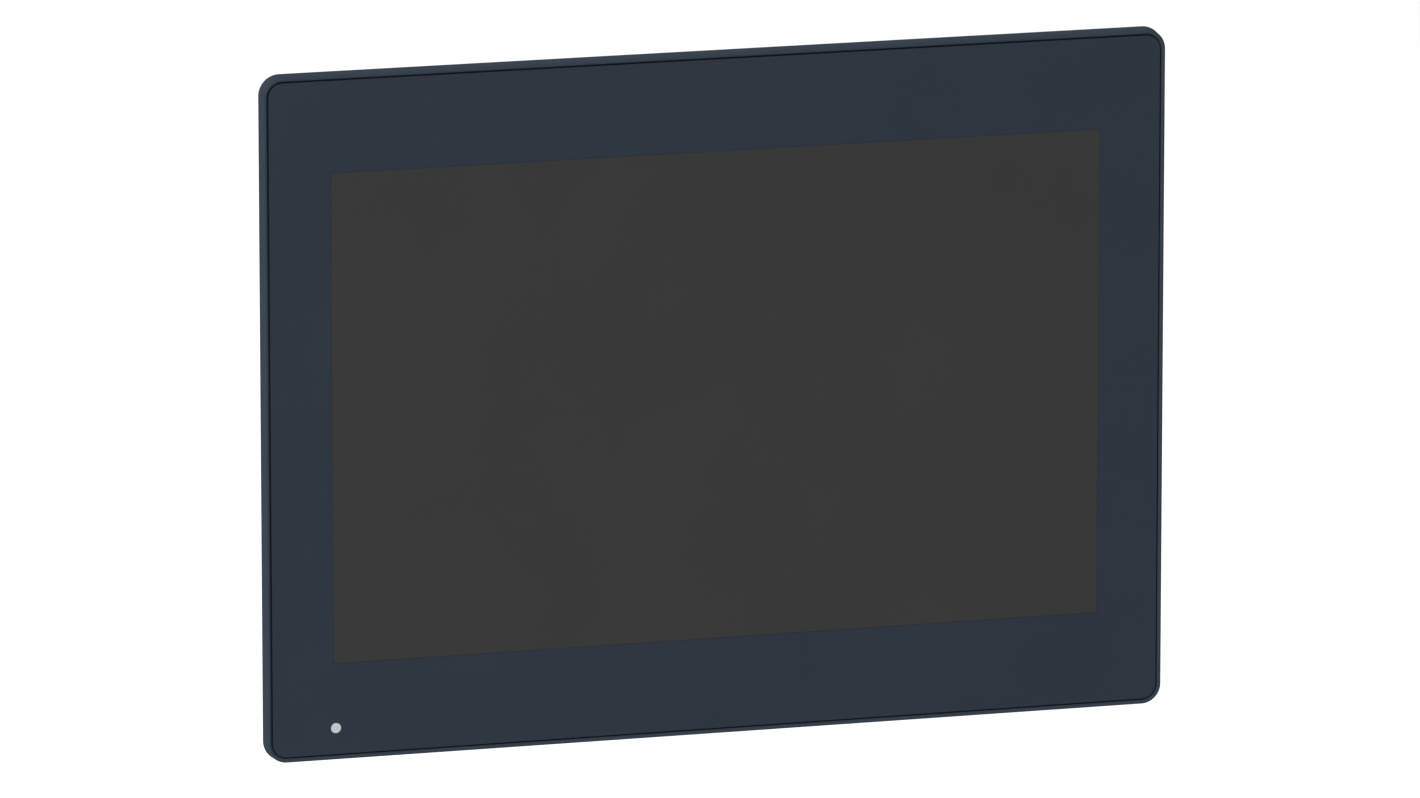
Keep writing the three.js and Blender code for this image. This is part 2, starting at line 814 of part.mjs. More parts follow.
// Ribs that centre the housing in the cut-out.
function locatingRibs() {
  const halfWidth = cutout.width / 2 - rib.play;
  const halfHeight = cutout.height / 2 - rib.play;
  const y = [clearance, rib.rear];
  const upright = mirrored(rib.x).flatMap((x) => [
    block({ x: around(x, rib.thickness), y, z: [step.height / 2 - overrun, halfHeight] }),
    block({ x: around(x, rib.thickness), y, z: [-halfHeight, overrun - step.height / 2] }),
  ]);
  const sideways = mirrored(rib.z).flatMap((z) => [
    block({ x: [step.width / 2 - overrun, halfWidth], y, z: around(z, rib.thickness) }),
    block({ x: [-halfWidth, overrun - step.width / 2], y, z: around(z, rib.thickness) }),
  ]);
  return [...upright, ...sideways];
}

function ventSlots() {
  const slots = [];
  for (let index = 0; index < vent.count; index += 1) {
    const x = (index - (vent.count - 1) / 2) * vent.pitch;
    slots.push(block({ x: around(x, vent.width), y: vent.y, z: around(box.height / 2, cutReach) }));
  }
  for (let index = 0; index < rearVent.count; index += 1) {
    slots.push(block({
      x: around(rearVent.x + index * rearVent.pitch, rearVent.width),
      y: around(box.rear, cutReach),
      z: around(rearVent.z, rearVent.height),
    }));
  }
  return slots;
}

function wallOpening(x, width, y) {
  return block({ x: around(x, width), y, z: around(boxBottom, cutReach) });
}

function connectorOpenings() {
  const room = 2 * clearance;
  const bottom = mountY - clearance;
  const square = ({ width, height }, x) => {
    return wallOpening(x, width + room, [bottom, mountY + height + clearance]);
  };
  const shellY = around(mountY + serial.height / 2, serialOpening.height);
  return [
    square(power, power.x),
    ...network.xs.map((x) => square(network, x)),
    square(usbHost, usbHost.x),
    square(usbDevice, usbDevice.x),
    ...serial.xs.map((x) => wallOpening(x, serialOpening.width, shellY)),
    rod({
      axis: 'z',
      radius: button.radius + clearance,
      span: around(boxBottom, cutReach),
      at: [button.x, mountY + button.y],
      sides: smallSides,
    }),
    block({ x: around(boxRight, cutReach), ...cardSlot }),
  ];
}

function screwSeats() {
  return postPlaces().flatMap(({ x, z }) => [
    rod({
      axis: 'y',
      radius: screwSeat.radius,
      span: [step.rear - screwSeat.depth, step.rear + overrun],
      at: [x, z],
    }),
    rod({
      axis: 'y',
      radius: housingScrew.radius + clearance,
      span: [step.rear - wall - overrun, step.rear],
      at: [x, z],
      sides: smallSides,
    }),
  ]);
}

function hingeMiddleKnuckle() {
  const barrel = rod({
    axis: 'z',
    radius: hinge.knuckleRadius,
    span: hinge.middle,
    at: [hinge.x, hinge.y],
    sides: mediumSides,
  });
  const foot = block({
    x: [hinge.x - hinge.knuckleRadius, hinge.x + 2 * clearance + hinge.pinRadius],
    y: [box.rear - overrun, hinge.y],
    z: hinge.middle,
  });
  return join(barrel, foot);
}

function hingeBore(span) {
  return rod({
    axis: 'z',
    radius: hinge.pinRadius + clearance,
    span,
    at: [hinge.x, hinge.y],
    sides: smallSides,
  });
}

function rearHousing() {
  const doorway = block({ x: door.x, y: around(box.rear, cutReach), z: door.z });
  const notch = block({
    x: fingerNotch.x,
    y: [box.rear - fingerNotch.depth, box.rear + overrun],
    z: fingerNotch.z,
  });
  const plateSeat = plate({
    ...ratingPlate,
    width: ratingPlate.width + 2 * clearance,
    height: ratingPlate.height + 2 * clearance,
    y: [box.rear - ratingPlate.recess, box.rear + overrun],
  });
  const shell = join(housingShell(), ...locatingRibs());
  const holes = [...ventSlots(), ...connectorOpenings(), ...screwSeats()];
  const opened = cut(shell, ...holes, doorway, notch, plateSeat);
  const bore = hingeBore([hinge.middle[0] - overrun, hinge.middle[1] + overrun]);
  return cut(join(opened, hingeMiddleKnuckle()), bore);
}

// A flat leaf with two hinge knuckles beyond its edge and a sprung latch tab behind its free edge.
function serviceDoor() {
  const x = [door.x[0] + door.play, door.x[1] - door.play];
  const z = [door.z[0] + door.play, door.z[1] - door.play];
  const leaf = block({ x, y: [box.rear - door.thickness, box.rear], z });
  const knuckleSpans = [
    [z[0] + hinge.margin, hinge.middle[0] - 2 * clearance],
    [hinge.middle[1] + 2 * clearance, z[1] - hinge.margin],
  ];
  const knuckles = knuckleSpans.flatMap((span) => [
    rod({ axis: 'z', radius: hinge.knuckleRadius, span, at: [hinge.x, hinge.y], sides: mediumSides }),
    block({ x: [hinge.x, hinge.x + hinge.leaf], y: [box.rear - door.thickness / 2, hinge.y], z: span }),
  ]);
  const underKnuckles = block({
    x: [hinge.x - hinge.leaf, x[0]],
    y: [box.rear - hinge.leaf, box.rear + clearance],
    z,
  });
  const latchTab = block({
    x: [x[1] - latch.inset - latch.thickness, x[1] - latch.inset],
    y: [box.rear - latch.reach, box.rear - door.thickness / 2],
    z: around((door.z[0] + door.z[1]) / 2, latch.width),
  });
  return cut(join(leaf, ...knuckles, latchTab), underKnuckles, hingeBore(door.z));
}

// A pan head with a hexagonal socket on a plain shaft.
function housingScrewBody() {
  const headY = [screwHeadFront, screwHeadFront + housingScrew.headHeight];
  const at = [0, 0];
  const shaft = rod({
    axis: 'y',
    radius: housingScrew.radius,
    span: [screwTip, headY[1]],
    at,
    sides: smallSides,
  });
  const head = rod({ axis: 'y', radius: housingScrew.headRadius, span: headY, at, sides: mediumSides });
  const socket = rod({
    axis: 'y',
    radius: housingScrew.socketRadius,
    span: [headY[1] - housingScrew.socketDepth, headY[1] + overrun],
    at,
    sides: hexagonSides,
  });
  return cut(join(shaft, head), socket);
}

addPiece('rear_housing', rearHousing(), finishes.housing);
addPiece('service_door', serviceDoor(), finishes.housing);
addPiece('door_hinge_pin', rod({
  axis: 'z',
  radius: hinge.pinRadius,
  span: [door.z[0] + door.play + hinge.margin, door.z[1] - door.play - hinge.margin],
  at: [hinge.x, hinge.y],
  sides: smallSides,
}), finishes.steel);
addPiece('rating_plate', plate({
  ...ratingPlate,
  y: [box.rear - ratingPlate.recess + clearance, box.rear - hairGap],
}), finishes.label);
for (const { name, x, z } of postPlaces()) {
  addPiece(`housing_screw_${name}`, housingScrewBody(), finishes.steel).position.set(x, 0, z);
}

// ---------- Swing-out clamps ----------

// A post riveted into the bezel, with a pin for the arm and a head that keeps the arm on.
function clampPivot() {
  const centre = [0, 0];
  return join(
    rod({
      axis: 'y',
      radius: clamp.pinRadius,
      span: [-clamp.rivetDepth, clamp.headY[1]],
      at: centre,
      sides: smallSides,
    }),
    rod({ axis: 'y', radius: clamp.postRadius, span: [clearance, clamp.armY[0] - clearance], at: centre }),
    rod({ axis: 'y', radius: clamp.headRadius, span: clamp.headY, at: centre }),
  );
}

// The arm lies along +X from its pivot and ends in the threaded eye of the clamp screw.
function clampArm() {
  const pivotEnd = rod({ axis: 'y', radius: clamp.armRadius, span: clamp.armY, at: [0, 0] });
  const screwEnd = rod({ axis: 'y', radius: clamp.armRadius, span: clamp.armY, at: [clamp.reach, 0] });
  const web = block({
    x: [0, clamp.reach],
    y: clamp.armY,
    z: around(0, 2 * (clamp.armRadius - clamp.sideFlat)),
  });
  const bores = [0, clamp.reach].map((x) => rod({
    axis: 'y',
    radius: clamp.pinRadius + clearance,
    span: [clamp.armY[0] - overrun, clamp.armY[1] + overrun],
    at: [x, 0],
    sides: smallSides,
  }));
  return cut(join(pivotEnd, screwEnd, web), ...bores);
}

function clampFoot() {
  const at = [clamp.reach, 0];
  const pad = rod({ axis: 'y', radius: clamp.footRadius, span: clamp.footY, at });
  const socket = rod({
    axis: 'y',
    radius: clamp.screwRadius + clearance,
    span: [clamp.footY[1] - clamp.socketDepth, clamp.footY[1] + overrun],
    at,
    sides: smallSides,
  });
  return cut(pad, socket);
}

function clampScrew() {
  const at = [clamp.reach, 0];
  const tip = clamp.footY[1] - clamp.socketDepth + clearance;
  const shaft = rod({
    axis: 'y',
    radius: clamp.screwRadius,
    span: [tip, clamp.screwHeadY[0] + overrun],
    at,
    sides: smallSides,
  });
  const head = rod({ axis: 'y', radius: clamp.screwHeadRadius, span: clamp.screwHeadY, at });
  const socket = rod({
    axis: 'y',
    radius: clamp.keyRadius,
    span: [clamp.screwHeadY[1] - clamp.keyDepth, clamp.screwHeadY[1] + overrun],
    at,
    sides: hexagonSides,
  });
  return cut(join(shaft, head), socket);
}

for (const { name, x, z } of clampPlaces()) {
  const place = new THREE.Group();
  place.position.set(x, 0, z);
  place.rotation.y = x > 0 ? Math.PI : 0;
  addPiece(`clamp_pivot_${name}`, clampPivot(), finishes.steel, place);
  addPiece(`clamp_arm_${name}`, clampArm(), finishes.aluminium, place);
  addPiece(`clamp_foot_${name}`, clampFoot(), finishes.blackPlastic, place);
  addPiece(`clamp_screw_${name}`, clampScrew(), finishes.steel, place);
  panel.add(place);
}

export default panel;
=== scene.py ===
"""Looks of a panel-mount operator panel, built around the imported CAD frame."""
import json
import math

import bmesh
import bpy
from mathutils import Matrix, Vector


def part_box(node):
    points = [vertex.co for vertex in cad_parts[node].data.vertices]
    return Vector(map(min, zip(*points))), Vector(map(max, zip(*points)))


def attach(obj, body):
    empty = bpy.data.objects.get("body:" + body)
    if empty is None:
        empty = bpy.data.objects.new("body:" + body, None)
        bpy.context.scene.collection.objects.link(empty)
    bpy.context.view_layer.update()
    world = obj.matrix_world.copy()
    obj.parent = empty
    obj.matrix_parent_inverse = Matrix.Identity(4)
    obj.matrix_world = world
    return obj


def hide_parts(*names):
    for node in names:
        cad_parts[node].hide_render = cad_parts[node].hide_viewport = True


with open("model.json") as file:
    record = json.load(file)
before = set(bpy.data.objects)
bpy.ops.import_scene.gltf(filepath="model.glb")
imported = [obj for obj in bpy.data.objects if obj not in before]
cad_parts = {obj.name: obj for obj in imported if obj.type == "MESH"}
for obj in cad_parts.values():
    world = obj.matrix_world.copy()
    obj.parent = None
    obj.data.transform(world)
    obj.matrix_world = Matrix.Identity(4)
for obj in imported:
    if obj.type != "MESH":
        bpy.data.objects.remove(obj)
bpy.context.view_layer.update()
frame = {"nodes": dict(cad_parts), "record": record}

MM = 0.001
QUARTER = math.pi / 2
scene = bpy.context.scene

# ---------- Dimensions, in millimetres, in the row frame ----------

BEZEL = {"width": 308.5, "height": 230.5, "corner": 7.0, "depth": 5.5}
DRAFT = 0.35
ROUND_OVER = 1.0
RIM = 1.3
GROOVE = 0.9
BEAD_FLAT = 1.0
BEAD_DROP = 1.2
BEAD_GAP = 0.36
GROOVE_FLOOR = -4.0
SHEET = {"width": 304.1, "height": 226.1, "corner": 4.8}
SHEET_FRONT, SHEET_REAR = -5.3, -4.9
RECESS_FLOOR = -4.6
SCREEN = {"width": 262.7, "height": 164.6}
SEAM = 0.05
GLASS_POCKET = {"width": 285, "height": 181, "corner": 1.5, "floor": -2.6}
VIEW_OPENING = {"width": 268, "height": 170, "corner": 1.5}
GASKET_MIDDLE = {"width": 300.8, "height": 222.8, "corner": 5.0}
GASKET_GROOVE = {"width": 3.0, "depth": 1.8}
GASKET_CORD_WIDTH = 2.4
STEP = {"width": 288, "height": 190, "corner": 4.0, "rear": 22}
BOX = {"width": 210, "height": 150, "corner": 5.0, "rear": 44}
WALL = 2.3
CLEARANCE = 0.3
BEZEL_FACET_ANGLE = 32
TAIL_SLOT = {"x": (19, 35), "z": (86, 92.2)}
HINGE_AXIS = (40.6, 46.2)
KNUCKLE = {"radius": 1.9, "span": (36, 44), "pin_bore": 1.1}
DOORWAY = {"x": (42, 82), "z": (22, 58)}
LATCH_NOTCH = {"x": (81, 86), "y": (42.7, 45), "z": (35, 45)}
TOP_VENT = {"count": 26, "pitch": 6, "width": 2.6, "length": 13, "y": 33}
REAR_VENT = {"count": 14, "pitch": 6, "width": 2.6, "length": 26, "x": -84, "z": 40}
VENT_REACH = 9
LOCATING_RIB = {"place": 60, "half": 1.5, "y": (0.35, 6), "across": (94, 108), "along": (143, 147)}
STEP_RIB = {"places": (-44, 0, 44), "half": 1.1, "x": (109, 134), "y": (21.4, 22.6)}
SCREW_SEAT = {"radius": 3.7, "depth": 1.4, "bore": 1.5}
CLAMP_ARM = {"reach": 11.8, "radius": 4.5, "y": (11.0, 17.5), "bore": 2.25}
CLAMP_PITCH, HOUSING_SCREW_PITCH = 0.7, 0.45
NETWORK_PITCH = 1.02
SERIAL_PITCH = 2.77
SERIAL_SCREW_REACH = 12.5
PLUG_PITCH = 5.08
CORNER_STEPS = 14
CORNERS = ("top_left", "top_right", "bottom_left", "bottom_right")


# ---------- Mesh helpers ----------

def rounded_loop(width, height, corner, y, inset=0.0, steps=CORNER_STEPS):
    """Points of a rounded rectangle that faces along Y, in metres, counter-clockwise seen from the front."""
    radius = max(corner - inset, 0.02)
    across = width / 2 - inset - radius
    up = height / 2 - inset - radius
    points = []
    for turn, (sx, sz) in enumerate([(1, -1), (1, 1), (-1, 1), (-1, -1)]):
        for step in range(steps + 1):
            angle = (turn - 1) * QUARTER + step / steps * QUARTER
            x = sx * across + radius * math.cos(angle)
            z = sz * up + radius * math.sin(angle)
            points.append(Vector((x, y, z)) * MM)
    return points


def new_piece(name, mesh):
    piece = bpy.data.objects.new(name, mesh)
    scene.collection.objects.link(piece)
    return piece


def loft(name, loops, ring=False):
    """A closed skin through loops with equal counts of points: a ring, or a body with a face at each end."""
    count = len(loops[0])
    points = [point for loop in loops for point in loop]
    pairs = list(zip(range(len(loops)), range(1, len(loops))))
    if ring:
        pairs.append((len(loops) - 1, 0))
    faces = []
    for first, second in pairs:
        for index in range(count):
            after = (index + 1) % count
            faces.append((
                first * count + index,
                first * count + after,
                second * count + after,
                second * count + index,
            ))
    if not ring:
        faces.append(tuple(range(count)))
        faces.append(tuple(reversed(range((len(loops) - 1) * count, len(loops) * count))))
    mesh = bpy.data.meshes.new(name)
    mesh.from_pydata(points, [], faces)
    settle(mesh)
    return new_piece(name, mesh)


def settle(mesh):
    work = bmesh.new()
    work.from_mesh(mesh)
    bmesh.ops.remove_doubles(work, verts=work.verts, dist=1e-7)
    bmesh.ops.recalc_face_normals(work, faces=work.faces)
    work.to_mesh(mesh)
    work.free()


def weigh_normals(piece):
    """Keeps flat faces flat where they meet small radii."""
    weighted = piece.modifiers.new("weighted", "WEIGHTED_NORMAL")
    weighted.keep_sharp = True


def smooth(piece, angle=30):
    piece.data.shade_smooth()
    piece.data.set_sharp_from_angle(angle=math.radians(angle))
    weigh_normals(piece)
    return piece


def add_box(work, x, y, z):
    """A block between two corners, in millimetres."""
    size = Vector((x[1] - x[0], y[1] - y[0], z[1] - z[0]))
    middle = Vector((x[0] + x[1], y[0] + y[1], z[0] + z[1])) / 2
    place = Matrix.Translation(middle * MM) @ Matrix.Diagonal((*(size * MM), 1))
    return bmesh.ops.create_cube(work, size=1, matrix=place)["verts"]


AXIS_TURN = {
    "x": Matrix.Rotation(QUARTER, 4, "Y"),
    "y": Matrix.Rotation(-QUARTER, 4, "X"),
    "z": Matrix.Identity(4),
}


def add_rod(work, axis, radius, span, at, sides=24, end_radius=None):
    """A cylinder or cone along an axis; at holds the other two coordinates in X, Y, Z order."""
    middle = (span[0] + span[1]) / 2
    centre = {"x": (middle, *at), "y": (at[0], middle, at[-1]), "z": (*at, middle)}[axis]
    place = Matrix.Translation(Vector(centre) * MM) @ AXIS_TURN[axis]
    bmesh.ops.create_cone(
        work, cap_ends=True, segments=sides, radius1=radius * MM,
        radius2=(radius if end_radius is None else end_radius) * MM,
        depth=(span[1] - span[0]) * MM, matrix=place,
    )


def add_slot(work, middle, width, length, through, depth_axis, long_axis):
    """A block with half-round ends, in millimetres: width across, length along long_axis."""
    axes = {"x": Vector((1, 0, 0)), "y": Vector((0, 1, 0)), "z": Vector((0, 0, 1))}
    deep = axes[depth_axis]
    long = axes[long_axis]
    cross = deep.cross(long)
    radius = width / 2
    reach = length / 2 - radius
    outline = []
    steps = 6
    for end in (1, -1):
        for step in range(steps + 1):
            angle = -QUARTER + step / steps * 2 * QUARTER
            side = radius * math.sin(angle) * end
            ahead = (reach + radius * math.cos(angle)) * end
            outline.append(Vector(middle) + long * ahead + cross * side)
    near = [work.verts.new((point - deep * through / 2) * MM) for point in outline]
    far = [work.verts.new((point + deep * through / 2) * MM) for point in outline]
    work.faces.new(near)
    work.faces.new(list(reversed(far)))
    for index, vert in enumerate(near):
        after = (index + 1) % len(near)
        work.faces.new((vert, far[index], far[after], near[after]))


def from_work(name, work):
    bmesh.ops.recalc_face_normals(work, faces=work.faces)
    mesh = bpy.data.meshes.new(name)
    work.to_mesh(mesh)
    work.free()
    return new_piece(name, mesh)


def bake_modifiers(piece):
    """Turns the piece's modifiers into its mesh."""
    bpy.context.view_layer.update()
    solved = piece.evaluated_get(bpy.context.evaluated_depsgraph_get())
    mesh = bpy.data.meshes.new_from_object(solved)
    piece.modifiers.clear()
    piece.data = mesh
    return piece


def combine(piece, tool, operation="DIFFERENCE"):
    """Cuts a tool out of a piece, or joins it on, and removes the tool."""
    modifier = piece.modifiers.new("combine", "BOOLEAN")
    modifier.object = tool
    modifier.operation = operation
    modifier.solver = "EXACT"
    modifier.use_self = True
    bake_modifiers(piece)
    bpy.data.objects.remove(tool)
    return piece


def bevel(piece, width, segments=2, angle=35):
    modifier = piece.modifiers.new("bevel", "BEVEL")
    modifier.width = width * MM
    modifier.segments = segments
    modifier.limit_method = "ANGLE"
    modifier.angle_limit = math.radians(angle)
    modifier.use_clamp_overlap = True
    modifier.miter_outer = "MITER_ARC"
    return piece


def soften(node, width, segments=2):
    """Gives a CAD node's edges a small radius and lets its round faces shade smoothly."""
    piece = frame["nodes"][node]
    if "custom_normal" in piece.data.attributes:
        piece.data.attributes.remove(piece.data.attributes["custom_normal"])
    piece.data.shade_smooth()
    weld = piece.modifiers.new("weld", "WELD")
    weld.merge_threshold = 1e-6
    planar = piece.modifiers.new("planar", "DECIMATE")
    planar.decimate_type = "DISSOLVE"
    planar.angle_limit = math.radians(1)
    bevel(piece, width, segments)
    weigh_normals(piece)
    return piece


def box_mm(node):
    low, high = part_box(node)
    return low / MM, high / MM


def middle_of(node):
    """The X and Z of a node's middle, in millimetres."""
    low, high = box_mm(node)
    return (low.x + high.x) / 2, (low.z + high.z) / 2


def pitch_row(middle, pitch, count):
    return [middle + pitch * (index - (count - 1) / 2) for index in range(count)]


# ---------- Materials ----------

class Nodes:
    """Short calls for building a material's node tree around one Principled shader."""

    def __init__(self, name, **values):
        self.material = bpy.data.materials.new(name)
        self.material.use_nodes = True
        self.tree = self.material.node_tree
        self.shader = self.tree.nodes["Principled BSDF"]
        for socket, value in values.items():
            self.shader.inputs[socket.replace("_", " ")].default_value = value
        self.where = self.tree.nodes.new("ShaderNodeTexCoord").outputs["Object"]

    def add(self, kind, **inputs):
        node = self.tree.nodes.new(kind)
        for name, value in inputs.items():
            self.feed(node.inputs[name.replace("_", " ")], value)
        return node

    def feed(self, socket, value):
        if isinstance(value, bpy.types.NodeSocket):
            self.tree.links.new(value, socket)
        else:
            socket.default_value = value

    def scaled(self, factors):
        node = self.tree.nodes.new("ShaderNodeVectorMath")
        node.operation = "MULTIPLY"
        self.feed(node.inputs[0], self.where)
        node.inputs[1].default_value = factors
        return node.outputs[0]

    def noise(self, scale, detail=3.0, roughness=0.55, vector=None):
        node = self.add("ShaderNodeTexNoise", Scale=scale, Detail=detail, Roughness=roughness)
        self.feed(node.inputs["Vector"], self.where if vector is None else vector)
        return node.outputs["Fac"]

    def spread(self, value, low, high, start=0.0, end=1.0):
        node = self.add("ShaderNodeMapRange", Value=value, To_Min=low, To_Max=high)
        node.inputs["From Min"].default_value = start
        node.inputs["From Max"].default_value = end
        return node.outputs[0]

    def contrast(self, value, low=0.0, high=1.0):
        """Spreads the middle of a noise's range over the whole of another range."""
        return self.spread(value, low, high, 0.3, 0.7)

    def maths(self, operation, first, second=0.0):
        node = self.tree.nodes.new("ShaderNodeMath")
        node.operation = operation
        self.feed(node.inputs[0], first)
        self.feed(node.inputs[1], second)
        return node.outputs[0]

    def mix(self, amount, first, second):
        node = self.tree.nodes.new("ShaderNodeMix")
        node.data_type = "RGBA"
        self.feed(node.inputs[0], amount)
        self.feed(node.inputs[6], first)
        self.feed(node.inputs[7], second)
        return node.outputs[2]

    def edges(self, radius, amount):
        """Nearly 1 on convex and concave edges, broken up by noise."""
        rounded = self.tree.nodes.new("ShaderNodeBevel")
        rounded.samples = 4
        rounded.inputs["Radius"].default_value = radius * MM
        plain = self.tree.nodes.new("ShaderNodeNewGeometry")
        dot = self.tree.nodes.new("ShaderNodeVectorMath")
        dot.operation = "DOT_PRODUCT"
        self.tree.links.new(rounded.outputs[0], dot.inputs[0])
        self.tree.links.new(plain.outputs["Normal"], dot.inputs[1])
        near = self.spread(dot.outputs["Value"], 1.0, 0.0, 0.80, 0.985)
        patchy = self.spread(self.noise(260.0, 4.0), 0.0, 1.0, 0.38, 0.62)
        return self.maths("MULTIPLY", self.maths("MULTIPLY", near, patchy), amount)

    def bump(self, height, distance, strength=1.0, below=None):
        node = self.add("ShaderNodeBump", Strength=strength, Distance=distance * MM, Height=height)
        if below is not None:
            self.tree.links.new(below, node.inputs["Normal"])
        return node.outputs[0]

    def finish(self, colour=None, roughness=None, normal=None):
        for name, value in (("Base Color", colour), ("Roughness", roughness), ("Normal", normal)):
            if value is not None:
                self.feed(self.shader.inputs[name], value)
        return self.material


def tinted(colour, factor):
    return (*(min(channel * factor, 1.0) for channel in colour), 1.0)


def moulded(name, colour, roughness=0.5, specular=0.4, grain=1500.0, depth=0.012, wear=0.35, mottle=0.07):
    """Moulded plastic: an eroded tool texture, faint flow mottling and rubbed edges."""
    work = Nodes(name, Specular_IOR_Level=specular)
    flow = work.noise(38.0, 4.0)
    fine = work.noise(grain, 2.0, 0.6)
    coarse = work.noise(grain / 6, 3.0, 0.6)
    body = work.mix(work.contrast(flow), tinted(colour, 1 - mottle), tinted(colour, 1 + mottle))
    rubbed = work.edges(0.5, wear)
    shown = work.mix(rubbed, body, tinted(colour, 2.1))
    rough = work.maths("ADD", work.contrast(fine, roughness - 0.07, roughness + 0.07),
                       work.contrast(flow, -0.03, 0.03))
    normal = work.bump(coarse, depth * 0.7, 0.5, work.bump(fine, depth, 0.7))
    return work.finish(shown, rough, normal)


def film(name, colour, roughness, specular, sparkle, depth):
    """Printed polyester film with a hard coat: fine anti-glare texture and a faint print mottle."""
    work = Nodes(name, Specular_IOR_Level=specular)
    print_mottle = work.noise(22.0, 3.0)
    cells = work.add("ShaderNodeTexVoronoi", Vector=work.where, Scale=sparkle)
    glare = work.noise(sparkle * 0.8, 2.0, 0.7)
    shown = work.mix(work.contrast(print_mottle), tinted(colour, 0.965), tinted(colour, 1.035))
    specks = work.spread(cells.outputs["Distance"], 0.0, 0.06, 0.0, 0.6)
    grained = work.mix(specks, shown, tinted(colour, 1.6))
    smears = work.noise(9.0, 5.0, 0.6, work.scaled((1.0, 1.0, 0.45)))
    rough = work.maths("ADD", work.contrast(glare, roughness - 0.05, roughness + 0.05),
                       work.contrast(smears, -0.035, 0.035))
    return work.finish(grained, rough, work.bump(glare, depth, 0.6))


def plated(name, colour, roughness=0.32, brush=(1.0, 1.0, 1.0), spangle=0.10, depth=0.004):
    """Plated or bare metal: fine directional scratches, cloudy plating and brighter edges."""
    work = Nodes(name, Metallic=1.0)
    clouds = work.noise(120.0, 4.0)
    lines = work.noise(420.0, 4.0, 0.65, work.scaled(brush))
    cloudy = work.contrast(clouds)
    body = work.mix(cloudy, tinted(colour, 1 - spangle), tinted(colour, 1 + spangle))
    shown = work.mix(work.edges(0.3, 0.6), body, tinted(colour, 1.35))
    rough = work.maths("ADD", work.contrast(lines, roughness - 0.09, roughness + 0.09),
                       work.contrast(clouds, -0.05, 0.05))
    return work.finish(shown, rough, work.bump(lines, depth, 0.5))


def foam_rubber(name, colour):
    """Closed-cell foam: small pits over a matte skin."""
    work = Nodes(name, Specular_IOR_Level=0.3)
    cells = work.add("ShaderNodeTexVoronoi", Vector=work.where, Scale=1700.0)
    clouds = work.noise(90.0, 4.0)
    body = work.mix(work.contrast(clouds), tinted(colour, 0.8), tinted(colour, 1.35))
    rough = work.contrast(clouds, 0.78, 0.95)
    return work.finish(body, rough, work.bump(cells.outputs["Distance"], 0.08, 0.6))


def laminate(name, colour):
    """Solder mask over copper tracks on a glass laminate."""
    work = Nodes(name, Specular_IOR_Level=0.5)
    tracks = work.add("ShaderNodeTexVoronoi", Vector=work.where, Scale=260.0)
    tracks.distance = "MANHATTAN"
    tracks.feature = "F2"
    pads = work.add("ShaderNodeTexVoronoi", Vector=work.where, Scale=330.0)
    weave = work.noise(1500.0, 2.0)
    bands = work.maths("FRACT", work.maths("MULTIPLY", tracks.outputs["Distance"], 7.0))
    copper = work.spread(bands, 0.0, 1.0, 0.42, 0.52)
    body = work.mix(copper, tinted(colour, 0.75), tinted(colour, 1.5))
    dots = work.spread(pads.outputs["Distance"], 1.0, 0.0, 0.10, 0.14)
    shown = work.mix(dots, body, (0.62, 0.60, 0.54, 1.0))
    return work.finish(shown, work.contrast(weave, 0.25, 0.4), work.bump(copper, 0.03, 0.6))


def clear(name, colour, roughness, transmission, ior):
    """Glass, acrylic or a frosted light pipe."""
    work = Nodes(name, Transmission_Weight=transmission, IOR=ior)
    haze = work.noise(300.0, 3.0)
    streaks = work.noise(30.0, 4.0, 0.6, work.scaled((1.0, 1.0, 4.0)))
    shown = work.mix(streaks, tinted(colour, 0.97), tinted(colour, 1.03))
    return work.finish(shown, work.contrast(haze, roughness * 0.8, roughness * 1.25),
                       work.bump(haze, 0.002, 0.4))


